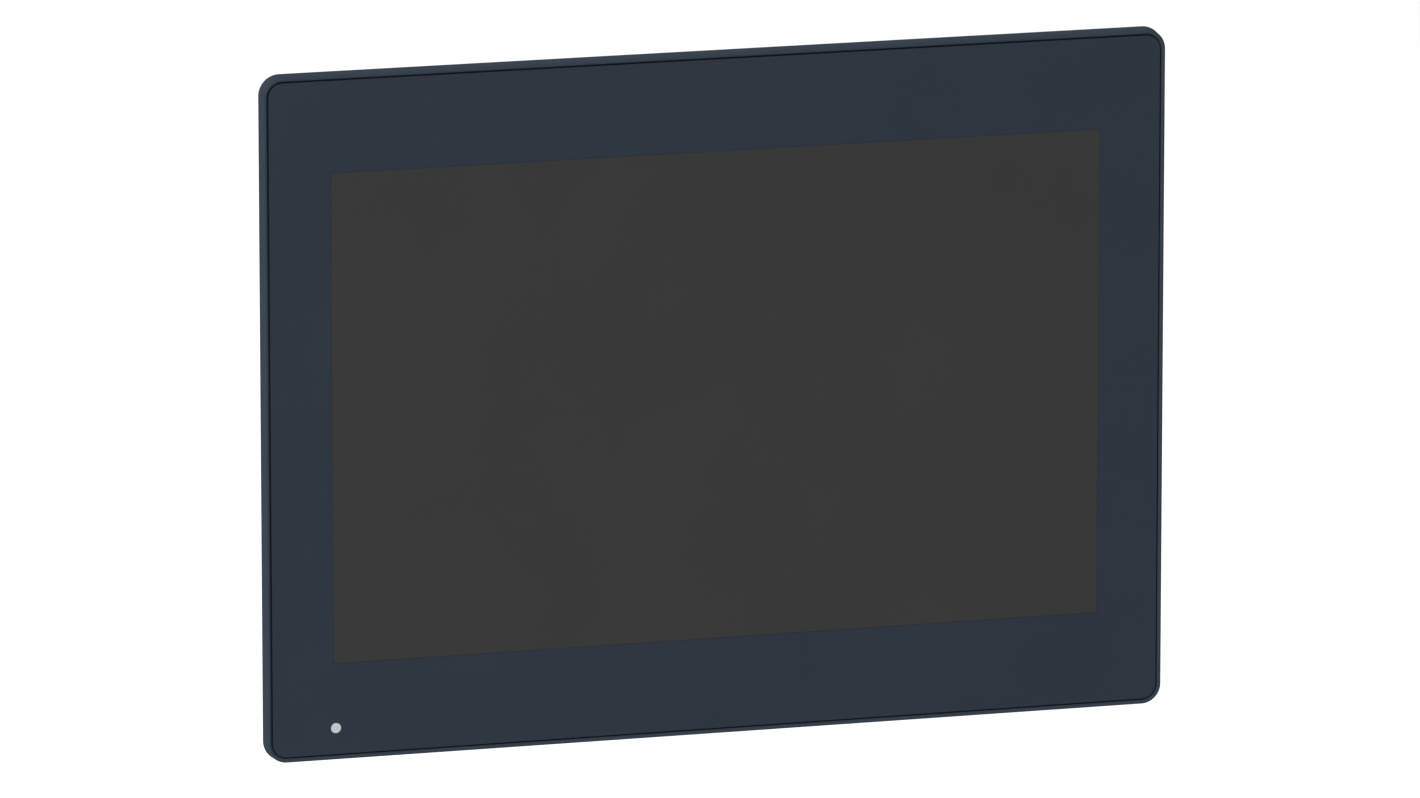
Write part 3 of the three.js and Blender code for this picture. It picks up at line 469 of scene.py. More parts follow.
BEZEL_COLOUR = (0.0333, 0.0442, 0.0582)
MATERIALS = {
    "bezel_plastic": moulded("bezel_plastic", BEZEL_COLOUR, 0.6, 0.0, 2200.0, 0.006, 0.10, 0.03),
    "printed_film": film("printed_film", (0.0172, 0.0250, 0.0371), 0.48, 0.12, 2400.0, 0.0022),
    "window_film": film("window_film", (0.0264, 0.0264, 0.0267), 0.40, 0.14, 2400.0, 0.0018),
    "clear_glass": clear("clear_glass", (0.80, 0.88, 0.88), 0.04, 0.9, 1.5),
    "lens_plastic": clear("lens_plastic", (0.52, 0.54, 0.57), 0.35, 0.15, 1.49),
    "seal_rubber": foam_rubber("seal_rubber", (0.016, 0.016, 0.018)),
    "zinc_steel": plated("zinc_steel", (0.56, 0.57, 0.59), 0.30, (1.0, 6.0, 1.0)),
    "circuit_laminate": laminate("circuit_laminate", (0.012, 0.10, 0.045)),
    "flex_film": film("flex_film", (0.42, 0.17, 0.03), 0.3, 0.5, 900.0, 0.003),
    "white_plastic": moulded("white_plastic", (0.70, 0.70, 0.67), 0.4, 0.5, 1200.0, 0.006, 0.0, 0.02),
    "black_plastic": moulded("black_plastic", (0.014, 0.014, 0.016), 0.45, 0.5, 1600.0, 0.008, 0.5),
    "heat_sink_aluminium": plated("heat_sink_aluminium", (0.62, 0.63, 0.65), 0.35, (1.0, 1.0, 8.0)),
    "terminal_plastic": moulded("terminal_plastic", (0.016, 0.17, 0.065), 0.42, 0.5, 1200.0, 0.007, 0.35),
    "connector_metal": plated("connector_metal", (0.66, 0.65, 0.62), 0.26, (1.0, 5.0, 1.0), 0.06),
    "card_plastic": moulded("card_plastic", (0.012, 0.014, 0.020), 0.38, 0.5, 1800.0, 0.005, 0.4),
    "button_plastic": moulded("button_plastic", (0.62, 0.62, 0.59), 0.35, 0.5, 1200.0, 0.004, 0.0, 0.03),
    "housing_plastic": moulded("housing_plastic", (0.030, 0.036, 0.044), 0.56, 0.4, 900.0, 0.022, 0.30, 0.06),
    "label_foil": plated("label_foil", (0.60, 0.61, 0.63), 0.36, (8.0, 1.0, 1.0), 0.03, 0.002),
    "clamp_alloy": plated("clamp_alloy", (0.50, 0.51, 0.53), 0.42, (1.0, 1.0, 1.0), 0.12, 0.02),
}
GOLD = plated("contact_gold", (0.83, 0.60, 0.27), 0.22, (1.0, 1.0, 6.0), 0.05)


def dress(piece, slot, material=None):
    """Gives a piece a material: the one passed in, or else the material named after the record's slot."""
    piece.data.materials.clear()
    piece.data.materials.append(material or MATERIALS[slot])
    return piece


def stand_for(piece, slot, *nodes, body="panel"):
    dress(piece, slot)
    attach(piece, body)
    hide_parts(*nodes)
    return piece


def detail(piece, slot, body="panel", material=None):
    dress(piece, slot, material)
    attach(piece, body)
    return piece


# ---------- Camera, floor and light ----------

VIEW_AZIMUTH = math.radians(-15.76)
VIEW_ELEVATION = math.radians(12.78)
VIEW_DISTANCE = 4.5221
VIEW_OFFSET = (-2.78 * MM, -1.13 * MM)
LENS, SENSOR_WIDTH, CLIP_END = 347.51, 36, 60
FLOOR_SIDE, FLOOR_LEVEL = 14.0, -0.45
SKY_STRENGTH = 0.6
LIGHTS = [
    # name, place, size, power
    ("key", (-2.5, -1.7, 2.5), 1.6, 104),
    ("fill", (2.4, -2.6, 1.2), 2.2, 3),
    ("rear", (-0.8, 3.0, 2.2), 1.8, 72),
]


def make_camera():
    lens = bpy.data.cameras.new("camera")
    lens.sensor_width = SENSOR_WIDTH
    lens.lens = LENS
    lens.clip_end = CLIP_END
    lens.dof.use_dof = False
    camera = new_piece("camera", lens)
    back = Vector((
        math.sin(VIEW_AZIMUTH) * math.cos(VIEW_ELEVATION),
        -math.cos(VIEW_AZIMUTH) * math.cos(VIEW_ELEVATION),
        math.sin(VIEW_ELEVATION),
    ))
    right = Vector((math.cos(VIEW_AZIMUTH), math.sin(VIEW_AZIMUTH), 0))
    up = back.cross(right)
    target = Vector((0, -BEZEL["depth"] * MM, 0)) + right * VIEW_OFFSET[0] + up * VIEW_OFFSET[1]
    camera.location = target + back * VIEW_DISTANCE
    camera.rotation_mode = "QUATERNION"
    camera.rotation_quaternion = (-back).to_track_quat("-Z", "Y")
    scene.camera = camera


def soft_light(name, place, size, power, aim=(0, 0, 0)):
    lamp = bpy.data.lights.new(name, "AREA")
    lamp.shape = "DISK"
    lamp.size = size
    lamp.energy = power
    light = new_piece(name, lamp)
    light.location = place
    light.rotation_mode = "QUATERNION"
    light.rotation_quaternion = (Vector(aim) - Vector(place)).to_track_quat("-Z", "Y")


def make_stage():
    work = Nodes("floor_paper", Roughness=0.9, Specular_IOR_Level=0.1)
    fibres = work.noise(60.0, 5.0)
    work.finish(work.mix(fibres, (0.93, 0.93, 0.93, 1), (0.96, 0.96, 0.96, 1)))
    mesh = bpy.data.meshes.new("floor")
    corners = [(x * FLOOR_SIDE, y * FLOOR_SIDE, FLOOR_LEVEL) for x, y in [(-1, -1), (1, -1), (1, 1), (-1, 1)]]
    mesh.from_pydata(corners, [], [(0, 1, 2, 3)])
    mesh.materials.append(work.material)
    floor = new_piece("floor", mesh)
    world = bpy.data.worlds.new("studio")
    world.use_nodes = True
    world.node_tree.nodes["Background"].inputs["Color"].default_value = (1.0, 1.0, 1.0, 1)
    world.node_tree.nodes["Background"].inputs["Strength"].default_value = SKY_STRENGTH
    scene.world = world
    scene.view_settings.view_transform = "Standard"
    for light in LIGHTS:
        soft_light(*light)


make_camera()
make_stage()


# ---------- Front: bezel, printed border, screen window, gasket ----------

def bezel_moulding():
    """The flange: a side with a round shoulder, a bead that rolls into the groove, the recesses behind."""
    def at(y, inset):
        return rounded_loop(BEZEL["width"], BEZEL["height"], BEZEL["corner"], y, inset)

    def loop(shape, y, grow=0.0):
        return rounded_loop(shape["width"], shape["height"], shape["corner"], y, -grow)

    crest = -BEZEL["depth"]
    loops = [at(-0.0, 0.12), at(-0.04, 0.03), at(-0.15, 0.0)]
    shoulder = crest + ROUND_OVER
    lean = DRAFT * (-shoulder) / BEZEL["depth"]
    loops.append(at(shoulder / 2, lean / 2))
    steps = 7
    for step in range(steps + 1):
        angle = step / steps * QUARTER
        loops.append(at(shoulder - ROUND_OVER * math.sin(angle), lean + 0.72 * (1 - math.cos(angle))))
    roll = RIM + GROOVE - BEAD_FLAT - BEAD_GAP
    for step in range(steps + 1):
        angle = step / steps * QUARTER
        loops.append(at(crest + BEAD_DROP * (1 - math.cos(angle)), BEAD_FLAT + roll * math.sin(angle)))
    loops += [
        at(GROOVE_FLOOR, RIM + GROOVE - BEAD_GAP),
        at(GROOVE_FLOOR, RIM + GROOVE + 0.1),
        at(RECESS_FLOOR, RIM + GROOVE + 0.15),
        loop(GLASS_POCKET, RECESS_FLOOR),
        loop(GLASS_POCKET, GLASS_POCKET["floor"]),
        loop(VIEW_OPENING, GLASS_POCKET["floor"]),
        loop(VIEW_OPENING, 0),
        loop(GASKET_MIDDLE, 0, -GASKET_GROOVE["width"] / 2),
        loop(GASKET_MIDDLE, -GASKET_GROOVE["depth"], -GASKET_GROOVE["width"] / 2),
        loop(GASKET_MIDDLE, -GASKET_GROOVE["depth"], GASKET_GROOVE["width"] / 2),
        loop(GASKET_MIDDLE, 0, GASKET_GROOVE["width"] / 2),
    ]
    piece = loft("bezel_moulding", loops, ring=True)
    work = bmesh.new()
    low, high = box_mm("status_light_pipe")
    add_box(work, (low.x + 0.05, high.x - 0.05), (-5.2, -2.8), (low.z - 0.3, high.z + 0.3))
    add_box(work, (low.x + 0.05, high.x - 0.05), (-5.2, 1), (high.z - 1.8, high.z + 0.3))
    combine(piece, from_work("tool", work))
    work = bmesh.new()
    add_box(work, TAIL_SLOT["x"], (-5.2, 1), TAIL_SLOT["z"])
    combine(piece, from_work("tool", work))
    return smooth(piece, BEZEL_FACET_ANGLE)


def printed_border():
    edge = 0.06
    hole = {"width": SCREEN["width"] + 2 * SEAM, "height": SCREEN["height"] + 2 * SEAM, "corner": 0.4}
    loops = [
        rounded_loop(SHEET["width"], SHEET["height"], SHEET["corner"], SHEET_REAR),
        rounded_loop(SHEET["width"], SHEET["height"], SHEET["corner"], SHEET_FRONT + edge),
        rounded_loop(SHEET["width"], SHEET["height"], SHEET["corner"], SHEET_FRONT, edge),
        rounded_loop(hole["width"], hole["height"], hole["corner"], SHEET_FRONT),
        rounded_loop(hole["width"], hole["height"], hole["corner"], SHEET_REAR),
    ]
    piece = loft("printed_border", loops, ring=True)
    low, high = box_mm("status_light_pipe")
    radius = (high.x - low.x) / 2 + 0.04
    work = bmesh.new()
    add_rod(work, "y", radius, (-6, -4), ((low.x + high.x) / 2, low.z + radius - 0.04), 48)
    combine(piece, from_work("tool", work))
    return smooth(piece, BEZEL_FACET_ANGLE)


def light_lens():
    """The status light's pipe with a fine round lens that sits flush in the film."""
    low, high = box_mm("status_light_pipe")
    radius = (high.x - low.x) / 2
    centre = ((low.x + high.x) / 2, low.z + radius)
    work = bmesh.new()
    add_rod(work, "y", radius, (SHEET_FRONT + 0.02, -4.4), centre, 48)
    lens = from_work("status_lens", work)
    work = bmesh.new()
    half = radius - 0.05
    add_box(work, (centre[0] - half, centre[0] + half), (-4.6, -3.1), (centre[1] - half, high.z))
    add_box(work, (centre[0] - half, centre[0] + half), (-4.0, high.y), (high.z - 1.5, high.z))
    bar = from_work("tool", work)
    combine(lens, bar, "UNION")
    bevel(lens, 0.08, 2)
    bake_modifiers(lens)
    return smooth(lens)


def gasket_cord():
    """A foam cord with a crowned top, pressed into the flange's groove."""
    half = GASKET_CORD_WIDTH / 2
    low, high = box_mm("panel_gasket")
    crown = [(-half, low.y), (-half, high.y - 0.9), (-0.93 * half, high.y - 0.42)]
    crown += [(-0.7 * half, high.y - 0.12), (-0.3 * half, high.y), (0.3 * half, high.y)]
    crown += [(0.7 * half, high.y - 0.12), (0.93 * half, high.y - 0.42), (half, high.y - 0.9), (half, low.y)]
    loops = []
    for side, y in crown:
        loops.append(rounded_loop(
            GASKET_MIDDLE["width"], GASKET_MIDDLE["height"], GASKET_MIDDLE["corner"], y, -side))
    return smooth(loft("gasket_cord", loops, ring=True), 50)


stand_for(bezel_moulding(), "bezel_plastic", "front_bezel")
stand_for(printed_border(), "printed_film", "border_overlay")
stand_for(light_lens(), "lens_plastic", "status_light_pipe")
stand_for(gasket_cord(), "seal_rubber", "panel_gasket")


# ---------- Rear housing ----------

def housing_moulding():
    """The stepped tub with its ribs, openings and knuckle."""
    def loop(shape, y, inset=0.0):
        return rounded_loop(shape["width"], shape["height"], shape["corner"], y, inset, 10)

    def fillet(shape, radius, steps):
        rear = shape["rear"]
        turns = [step / steps * QUARTER for step in range(steps + 1)]
        return [loop(shape, rear - radius + radius * math.sin(turn), radius * (1 - math.cos(turn)))
                for turn in turns]

    front = CLEARANCE
    loops = [loop(BOX, BOX["rear"] - WALL, WALL), loop(BOX, STEP["rear"] - WALL, WALL)]
    loops += [loop(STEP, STEP["rear"] - WALL, WALL), loop(STEP, front, WALL), loop(STEP, front)]
    loops += fillet(STEP, 1.4, 5)
    root = STEP["rear"]
    loops += [loop(BOX, root, -0.7), loop(BOX, root + 0.2, -0.2), loop(BOX, root + 0.7)]
    loops += fillet(BOX, 2.0, 6)
    piece = loft("housing_moulding", loops)
    combine(piece, housing_additions(), "UNION")
    combine(piece, housing_openings())
    work = bmesh.new()
    add_rod(work, "z", KNUCKLE["pin_bore"], (30, 50), HINGE_AXIS, 20)
    combine(piece, from_work("tool", work))
    bevel(piece, 0.22, 2, 40)
    bake_modifiers(piece)
    return smooth(piece, 32)


def housing_additions():
    """Ribs that locate the tub in the cut-out, ribs on the step, and the hinge's middle knuckle."""
    def beside(side, span):
        return sorted(side * end for end in span)

    work = bmesh.new()
    half = LOCATING_RIB["half"]
    for side in (-1, 1):
        for place in (-LOCATING_RIB["place"], LOCATING_RIB["place"]):
            band = (place - half, place + half)
            add_box(work, band, LOCATING_RIB["y"], beside(side, LOCATING_RIB["across"]))
        for place in (-LOCATING_RIB["place"], LOCATING_RIB["place"]):
            band = (place - half, place + half)
            add_box(work, beside(side, LOCATING_RIB["along"]), LOCATING_RIB["y"], band)
        for z in STEP_RIB["places"]:
            band = (z - STEP_RIB["half"], z + STEP_RIB["half"])
            add_box(work, beside(side, STEP_RIB["x"]), STEP_RIB["y"], band)
    add_box(work, (38.7, 41.8), (43, HINGE_AXIS[1]), KNUCKLE["span"])
    ribs = from_work("ribs", work)
    work = bmesh.new()
    add_rod(work, "z", KNUCKLE["radius"], KNUCKLE["span"], HINGE_AXIS, 32)
    return combine(ribs, from_work("barrel", work), "UNION")


def port_boxes():
    """The openings in the lower wall, from the boxes of the connectors behind them."""
    rooms = []
    square = ("power_socket", "network_socket_1", "network_socket_2", "usb_host_socket", "usb_device_socket")
    for node in square:
        low, high = box_mm(node)
        rooms.append(((low.x - 0.3, high.x + 0.3), (low.y - 0.2, high.y + 0.3)))
    for node in ("serial_socket_1", "serial_socket_2"):
        low, high = box_mm(node)
        middle = (low.x + high.x) / 2
        rooms.append(((middle - 9.1, middle + 9.1), (low.y + 1.6, high.y - 1.6)))
    return rooms


def housing_openings():
    """Vents, ports, the button's hole, the card's slit, the doorway, the plate's seat and screw holes."""
    work = bmesh.new()
    bottom = -BOX["height"] / 2
    through = (bottom - 3, bottom + 3.4)
    vent = TOP_VENT
    for x in pitch_row(0, vent["pitch"], vent["count"]):
        place = (x, vent["y"], BOX["height"] / 2)
        add_slot(work, place, vent["width"], vent["length"], VENT_REACH, "z", "y")
    vent = REAR_VENT
    for index in range(vent["count"]):
        place = (vent["x"] + index * vent["pitch"], BOX["rear"], vent["z"])
        add_slot(work, place, vent["width"], vent["length"], VENT_REACH, "y", "z")
    for x, y in port_boxes():
        add_box(work, x, y, through)
    low, high = box_mm("reset_button")
    add_rod(work, "z", 1.95, through, ((low.x + high.x) / 2, (low.y + high.y) / 2), 24)
    low, high = box_mm("memory_card")
    add_box(work, (101.5, 108.5), (low.y - 0.5, high.y + 0.3), (low.z - 0.6, high.z + 0.6))
    add_box(work, DOORWAY["x"], (39.5, 48.5), DOORWAY["z"])
    add_box(work, LATCH_NOTCH["x"], LATCH_NOTCH["y"], LATCH_NOTCH["z"])
    low, high = box_mm("rating_plate")
    add_box(work, (low.x - 0.3, high.x + 0.3), (43.2, 45), (low.z - 0.3, high.z + 0.3))
    for corner in CORNERS:
        middle = middle_of("housing_screw_" + corner)
        seat = (STEP["rear"] - SCREW_SEAT["depth"], STEP["rear"] + 1)
        add_rod(work, "y", SCREW_SEAT["radius"], seat, middle, 32)
        add_rod(work, "y", SCREW_SEAT["bore"], (STEP["rear"] - WALL - 1, STEP["rear"]), middle, 20)
    return from_work("openings", work)


stand_for(housing_moulding(), "housing_plastic", "rear_housing")


# ---------- Turned and threaded pieces ----------

def turned(name, rings, centre, sides=40):
    """A body along Y from rings of (y, radius): a radius may be a function of the angle. Ends are flat."""
    loops = []
    for y, radius in rings:
        loop = []
        for index in range(sides):
            angle = 2 * math.pi * index / sides
            reach = radius(angle) if callable(radius) else radius
            x = centre[0] + reach * math.cos(angle)
            z = centre[1] + reach * math.sin(angle)
            loop.append(Vector((x, y, z)) * MM)
        loops.append(loop)
    return loft(name, loops)


def hexagon(apothem):
    """The radius of a hexagon at an angle."""
    sector = math.pi / 3
    return lambda angle: apothem / math.cos((angle + sector / 2) % sector - sector / 2)


def knurl(radius, depth, count):
    return lambda angle: radius - depth * (0.5 + 0.5 * math.cos(count * angle))


def thread(outer, depth, pitch, span, per_turn=5):
    """Rings of a real helix between two places along Y."""
    steps = round((span[1] - span[0]) / pitch * per_turn)

    def ring(y):
        def radius(angle):
            phase = (y / pitch - angle / (2 * math.pi)) % 1
            return outer - depth * min(1.0, 1.25 * abs(2 * phase - 1))
        return (y, radius)
    return [ring(span[0] + (span[1] - span[0]) * step / steps) for step in range(steps + 1)]


def clamp_screw(name, centre):
    rings = [(8.3, 1.1), (8.55, 1.6)] + thread(2.0, 0.32, CLAMP_PITCH, (8.8, 29.3))
    grip = knurl(3.5, 0.14, 20)
    rings += [(29.5, 1.8), (30.0, 1.8), (30.0, 3.25), (30.2, grip), (32.3, grip)]
    rings += [(32.6, 3.38), (32.85, 3.2), (33.0, 2.9), (33.0, hexagon(1.7))]
    rings += [(32.85, hexagon(1.55)), (31.2, hexagon(1.55))]
    return smooth(turned(name, rings, centre), 40)


def housing_screw(name, centre):
    rings = [(12.9, 0.7), (13.2, 1.0)] + thread(1.25, 0.18, HOUSING_SCREW_PITCH, (13.3, 20.6), 4)
    rings += [(20.9, 1.2), (20.9, 2.45), (21.05, 2.6), (21.6, 2.58), (22.0, 2.4), (22.3, 2.05), (22.5, 1.5),
              (22.5, hexagon(1.15)), (22.42, hexagon(1.02)), (21.6, hexagon(1.02))]
    return smooth(turned(name, rings, centre), 40)


def clamp_pivot(name, centre):
    rings = [(-2.7, 1.6), (-2.5, 1.95), (0.3, 1.95), (0.3, 3.5), (0.55, 3.75), (10.35, 3.75), (10.7, 3.4),
             (10.7, 1.95), (17.9, 1.95), (17.9, 3.5), (18.15, 3.75), (19.1, 3.72), (19.6, 3.5), (19.95, 3.05),
             (20.1, 2.4), (20.1, 1.5), (19.8, 1.1), (19.7, 0.5)]
    return smooth(turned(name, rings, centre), 35)


def clamp_foot(name, centre):
    rings = [(6.5, 2.7), (6.56, 3.0), (6.8, 3.4), (7.1, 3.5), (7.5, 3.5), (7.65, 3.2)]
    rings += [(7.95, 3.2), (8.1, 3.5), (8.5, 3.5), (8.65, 3.2), (8.95, 3.2), (9.1, 3.5)]
    rings += [(10.2, 3.5), (10.5, 3.35), (10.6, 3.1), (10.6, 2.4), (10.5, 2.28), (8.05, 2.28)]
    return smooth(turned(name, rings, centre), 35)


def clamp_arm():
    """A cast lever between two bosses, with a pocketed web; it lies along +X from its pivot."""
    reach = CLAMP_ARM["reach"]
    work = bmesh.new()
    add_rod(work, "y", CLAMP_ARM["radius"], CLAMP_ARM["y"], (0, 0), 48)
    arm = from_work("arm", work)
    work = bmesh.new()
    add_rod(work, "y", CLAMP_ARM["radius"], CLAMP_ARM["y"], (reach, 0), 48)
    combine(arm, from_work("tool", work), "UNION")
    work = bmesh.new()
    add_box(work, (0, reach), (11.3, 16.9), (-3.9, 3.9))
    combine(arm, from_work("tool", work), "UNION")
    work = bmesh.new()
    for x in (0, reach):
        add_rod(work, "y", CLAMP_ARM["bore"], (10, 19), (x, 0), 40)
    add_box(work, (4.7, 7.1), (15.9, 18), (-2.4, 2.4))
    combine(arm, from_work("tool", work))
    bevel(arm, 0.4, 3, 30)
    bake_modifiers(arm)
    return smooth(arm, 40)


arm_master = clamp_arm()
turned_pair = ((clamp_foot, "clamp_foot_", "black_plastic"), (clamp_screw, "clamp_screw_", "zinc_steel"))
for corner in CORNERS:
    pivot = middle_of("clamp_pivot_" + corner)
    piece = new_piece("clamp_lever_" + corner, arm_master.data.copy())
    turn = Matrix.Rotation(math.pi if pivot[0] > 0 else 0.0, 4, "Y")
    piece.data.transform(Matrix.Translation(Vector((pivot[0], 0, pivot[1])) * MM) @ turn)
    stand_for(piece, "clamp_alloy", "clamp_arm_" + corner, body="clamp_arm_" + corner)
    for make, kind, slot in turned_pair:
        body = kind + corner
        stand_for(make(kind + "turned_" + corner, middle_of(body)), slot, body, body=body)
    stand_for(clamp_pivot("clamp_rivet_" + corner, pivot), "zinc_steel", "clamp_pivot_" + corner)
    screw = "housing_screw_" + corner
    stand_for(housing_screw("housing_bolt_" + corner, middle_of(screw)), "zinc_steel", screw)
bpy.data.objects.remove(arm_master)


# ---------- Connectors: contacts, tongues, shells ----------

WALL_Z = -BOX["height"] / 2
GREEN_LAMP = moulded("lamp_green", (0.10, 0.36, 0.12), 0.3, 0.5, 1200.0, 0.003, 0.0, 0.02)
AMBER_LAMP = moulded("lamp_amber", (0.62, 0.36, 0.06), 0.3, 0.5, 1200.0, 0.003, 0.0, 0.02)


def fine_boxes(name, boxes, width=0.08):
    """Small bevelled blocks in one piece."""
    work = bmesh.new()
    for x, y, z in boxes:
        add_box(work, x, y, z)
    piece = from_work(name, work)
    bevel(piece, width, 2)
    bake_modifiers(piece)
    return smooth(piece, 40)


def network_details(number):
    """Spring contacts, the comb that parts them, and two lamps."""
    low, high = box_mm(f"network_socket_{number}")
    middle = (low.x + high.x) / 2
    mouth_top = (low.y + high.y) / 2 + 0.6 + 4.3
    work = bmesh.new()
    lean = math.radians(17)
    for x in pitch_row(middle, NETWORK_PITCH, 8):
        place = Matrix.Translation(Vector((x, mouth_top - 1.6, low.z + 5.2)) * MM)
        place = place @ Matrix.Rotation(lean, 4, "X") @ Matrix.Diagonal((0.36 * MM, 0.24 * MM, 9.4 * MM, 1))
        bmesh.ops.create_cube(work, size=1, matrix=place)
    detail(from_work(f"network_contacts_{number}", work), "connector_metal", material=GOLD)
    roof = mouth_top - 0.05
    insert = [((middle - 5.85, middle + 5.85), (low.y + 3.1, roof), (low.z + 11.4, low.z + 11.95))]
    for x in pitch_row(middle, NETWORK_PITCH, 9):
        insert.append(((x - 0.12, x + 0.12), (mouth_top - 3.2, roof), (low.z + 7.6, low.z + 11.6)))
    detail(fine_boxes(f"network_insert_{number}", insert, 0.03), "black_plastic")
    for side, lamp, word in ((-1, GREEN_LAMP, "link"), (1, AMBER_LAMP, "speed")):
        x = middle + side * 5.6
        box = ((x - 1.5, x + 1.5), (low.y + 0.7, low.y + 2.2), (low.z - 0.14, low.z + 0.8))
        detail(fine_boxes(f"network_{word}_lamp_{number}", [box], 0.12), "lens_plastic", material=lamp)


def usb_details():
    """Tongues, contacts and the host socket's grounding springs."""
    low, high = box_mm("usb_host_socket")
    middle = (low.x + high.x) / 2
    tongue_y = (low.y + 3.15, low.y + 4.95)
    tongue = [((middle - 5.55, middle + 5.55), tongue_y, (low.z + 0.7, low.z + 10.9))]
    detail(fine_boxes("usb_host_tongue", tongue, 0.2), "black_plastic")
    contacts = [((x - 0.5, x + 0.5), (tongue_y[0] - 0.08, tongue_y[0] + 0.1), (low.z + 1.6, low.z + 9.5))
                for x in (middle - 3.5, middle - 1.0, middle + 1.0, middle + 3.5)]
    detail(fine_boxes("usb_host_contacts", contacts, 0.04), "connector_metal", material=GOLD)
    springs = [((x - 1.1, x + 1.1), (low.y + 0.3, low.y + 0.75), (low.z + 2.0, low.z + 6.0))
               for x in (middle - 3.2, middle + 3.2)]
    detail(fine_boxes("usb_host_springs", springs, 0.18), "connector_metal")
    low, high = box_mm("usb_device_socket")
    middle = (low.x + high.x) / 2
    centre = (low.y + high.y) / 2
    tongue = [((middle - 2.8, middle + 2.8), (centre - 1.6, centre + 1.6), (low.z + 0.6, low.z + 8.9))]
    detail(fine_boxes("usb_device_tongue", tongue, 0.25), "white_plastic")
    contacts = []
    for x in (middle - 1.25, middle + 1.25):
        for y in (centre - 1.6, centre + 1.6):
            contacts.append(((x - 0.5, x + 0.5), (y - 0.08, y + 0.08), (low.z + 1.2, low.z + 8.0)))
    detail(fine_boxes("usb_device_contacts", contacts, 0.03), "connector_metal", material=GOLD)


def d_loop(centre, z, inset, steps=5):
    """A D-shaped outline in the XY plane: a trapezoid with rounded corners, wide on its +Y side."""
    half = 4.1 - inset
    corners = [(-7.2 + inset, -half), (7.2 - inset, -half), (8.4 - inset, half), (-8.4 + inset, half)]
    radius = max(1.9 - inset, 0.4)
    points = []
    for index, corner in enumerate(corners):
        here = Vector(corner)
        before = (Vector(corners[index - 1]) - here).normalized()
        after = (Vector(corners[(index + 1) % 4]) - here).normalized()
        half_angle = before.angle(after) / 2
        reach = radius / math.sin(half_angle)
        centre_arc = here + (before + after).normalized() * reach
        start = here + before * (radius / math.tan(half_angle)) - centre_arc
        sweep = math.pi - 2 * half_angle
        for step in range(steps + 1):
            turn = Matrix.Rotation(sweep * step / steps, 2)
            point = centre_arc + turn @ start
            points.append(Vector((centre[0] + point.x, centre[1] + point.y, z)) * MM)
    return points


def serial_details(number):
    """The flanged shell, the insulator with nine pins and the two jack screws."""
    low, high = box_mm(f"serial_socket_{number}")
    centre = ((low.x + high.x) / 2, (low.y + high.y) / 2)
    front = low.z
    inner = WALL_Z + WALL + CLEARANCE
    lip = [(inner + 0.6, 0.0), (front + 0.25, 0.0), (front + 0.07, 0.07)]
    lip += [(front, 0.25), (front + 0.1, 0.5), (front + 5.0, 0.5)]
    shell = loft(f"serial_shell_{number}", [d_loop(centre, z, inset) for z, inset in lip])
    work = bmesh.new()
    add_box(work, (centre[0] - 15.4, centre[0] + 15.4), (low.y, high.y), (inner, inner + 1.0))
    block = ((centre[0] - 9.5, centre[0] + 9.5), (centre[1] - 5.5, centre[1] + 5.5))
    add_box(work, *block, (inner + 0.5, high.z))
    combine(shell, from_work("tool", work), "UNION")
    stand_for(smooth(shell, 35), "connector_metal", f"serial_socket_{number}")
    edge = [(front + 5.1, 0.55), (front + 3.6, 0.55), (front + 3.5, 0.65)]
    face = loft(f"serial_insulator_{number}", [d_loop(centre, z, inset) for z, inset in edge])
    detail(smooth(face, 40), "black_plastic")
    work = bmesh.new()
    for count, y in ((5, centre[1] + 1.42), (4, centre[1] - 1.42)):
        for x in pitch_row(centre[0], SERIAL_PITCH, count):
            add_rod(work, "z", 0.5, (front + 0.9, front + 4.4), (x, y), 16)
            add_rod(work, "z", 0.2, (front + 0.6, front + 0.9), (x, y), 16, 0.5)
    detail(smooth(from_work(f"serial_pins_{number}", work), 40), "connector_metal", material=GOLD)
    for side, word in ((-1, "left"), (1, "right")):
        x = centre[0] + side * SERIAL_SCREW_REACH
        rings = [(2.6, hexagon(2.45)), (0.25, hexagon(2.45)), (0.0, 2.35)]
        rings += [(0.0, 1.35), (0.35, 1.1), (3.0, 1.1)]
        jack = turned(f"serial_jack_{word}_{number}", rings, (0, 0), 36)
        place = Matrix.Translation(Vector((x, centre[1], WALL_Z - 2.55)) * MM)
        jack.data.transform(place @ Matrix.Rotation(QUARTER, 4, "X"))
        detail(smooth(jack, 35), "zinc_steel")


def plug_details():
    """Slotted clamp screws, the wire entries' cages and ribs between the ways."""
    low, high = box_mm("power_plug")
    middle = (low.x + high.x) / 2
    centre = (low.y + high.y) / 2
    work = bmesh.new()
    for x in pitch_row(middle, PLUG_PITCH, 3):
        add_rod(work, "y", 1.48, (centre + 2.05, centre + 3.3), (x, low.z + 4), 32)
        add_rod(work, "z", 1.5, (low.z + 5.2, low.z + 5.9), (x, centre), 24)
    screws = from_work("plug_screws", work)
    work = bmesh.new()
    for x in pitch_row(middle, PLUG_PITCH, 3):
        add_box(work, (x - 1.7, x + 1.7), (centre + 2.75, centre + 4), (low.z + 3.75, low.z + 4.25))
    combine(screws, from_work("tool", work))
    bevel(screws, 0.1, 2)
    bake_modifiers(screws)
    detail(smooth(screws, 35), "connector_metal", "power_plug")
    ribs = [((x - 0.35, x + 0.35), (high.y - 0.2, high.y + 0.25), (low.z + 0.6, low.z + 8.6))
            for x in pitch_row(middle, PLUG_PITCH, 4)]
    detail(fine_boxes("plug_ribs", ribs, 0.15), "terminal_plastic", "power_plug")


for number in (1, 2):
    network_details(number)
    serial_details(number)
usb_details()
plug_details()


# ---------- Card, door, plate and board details ----------

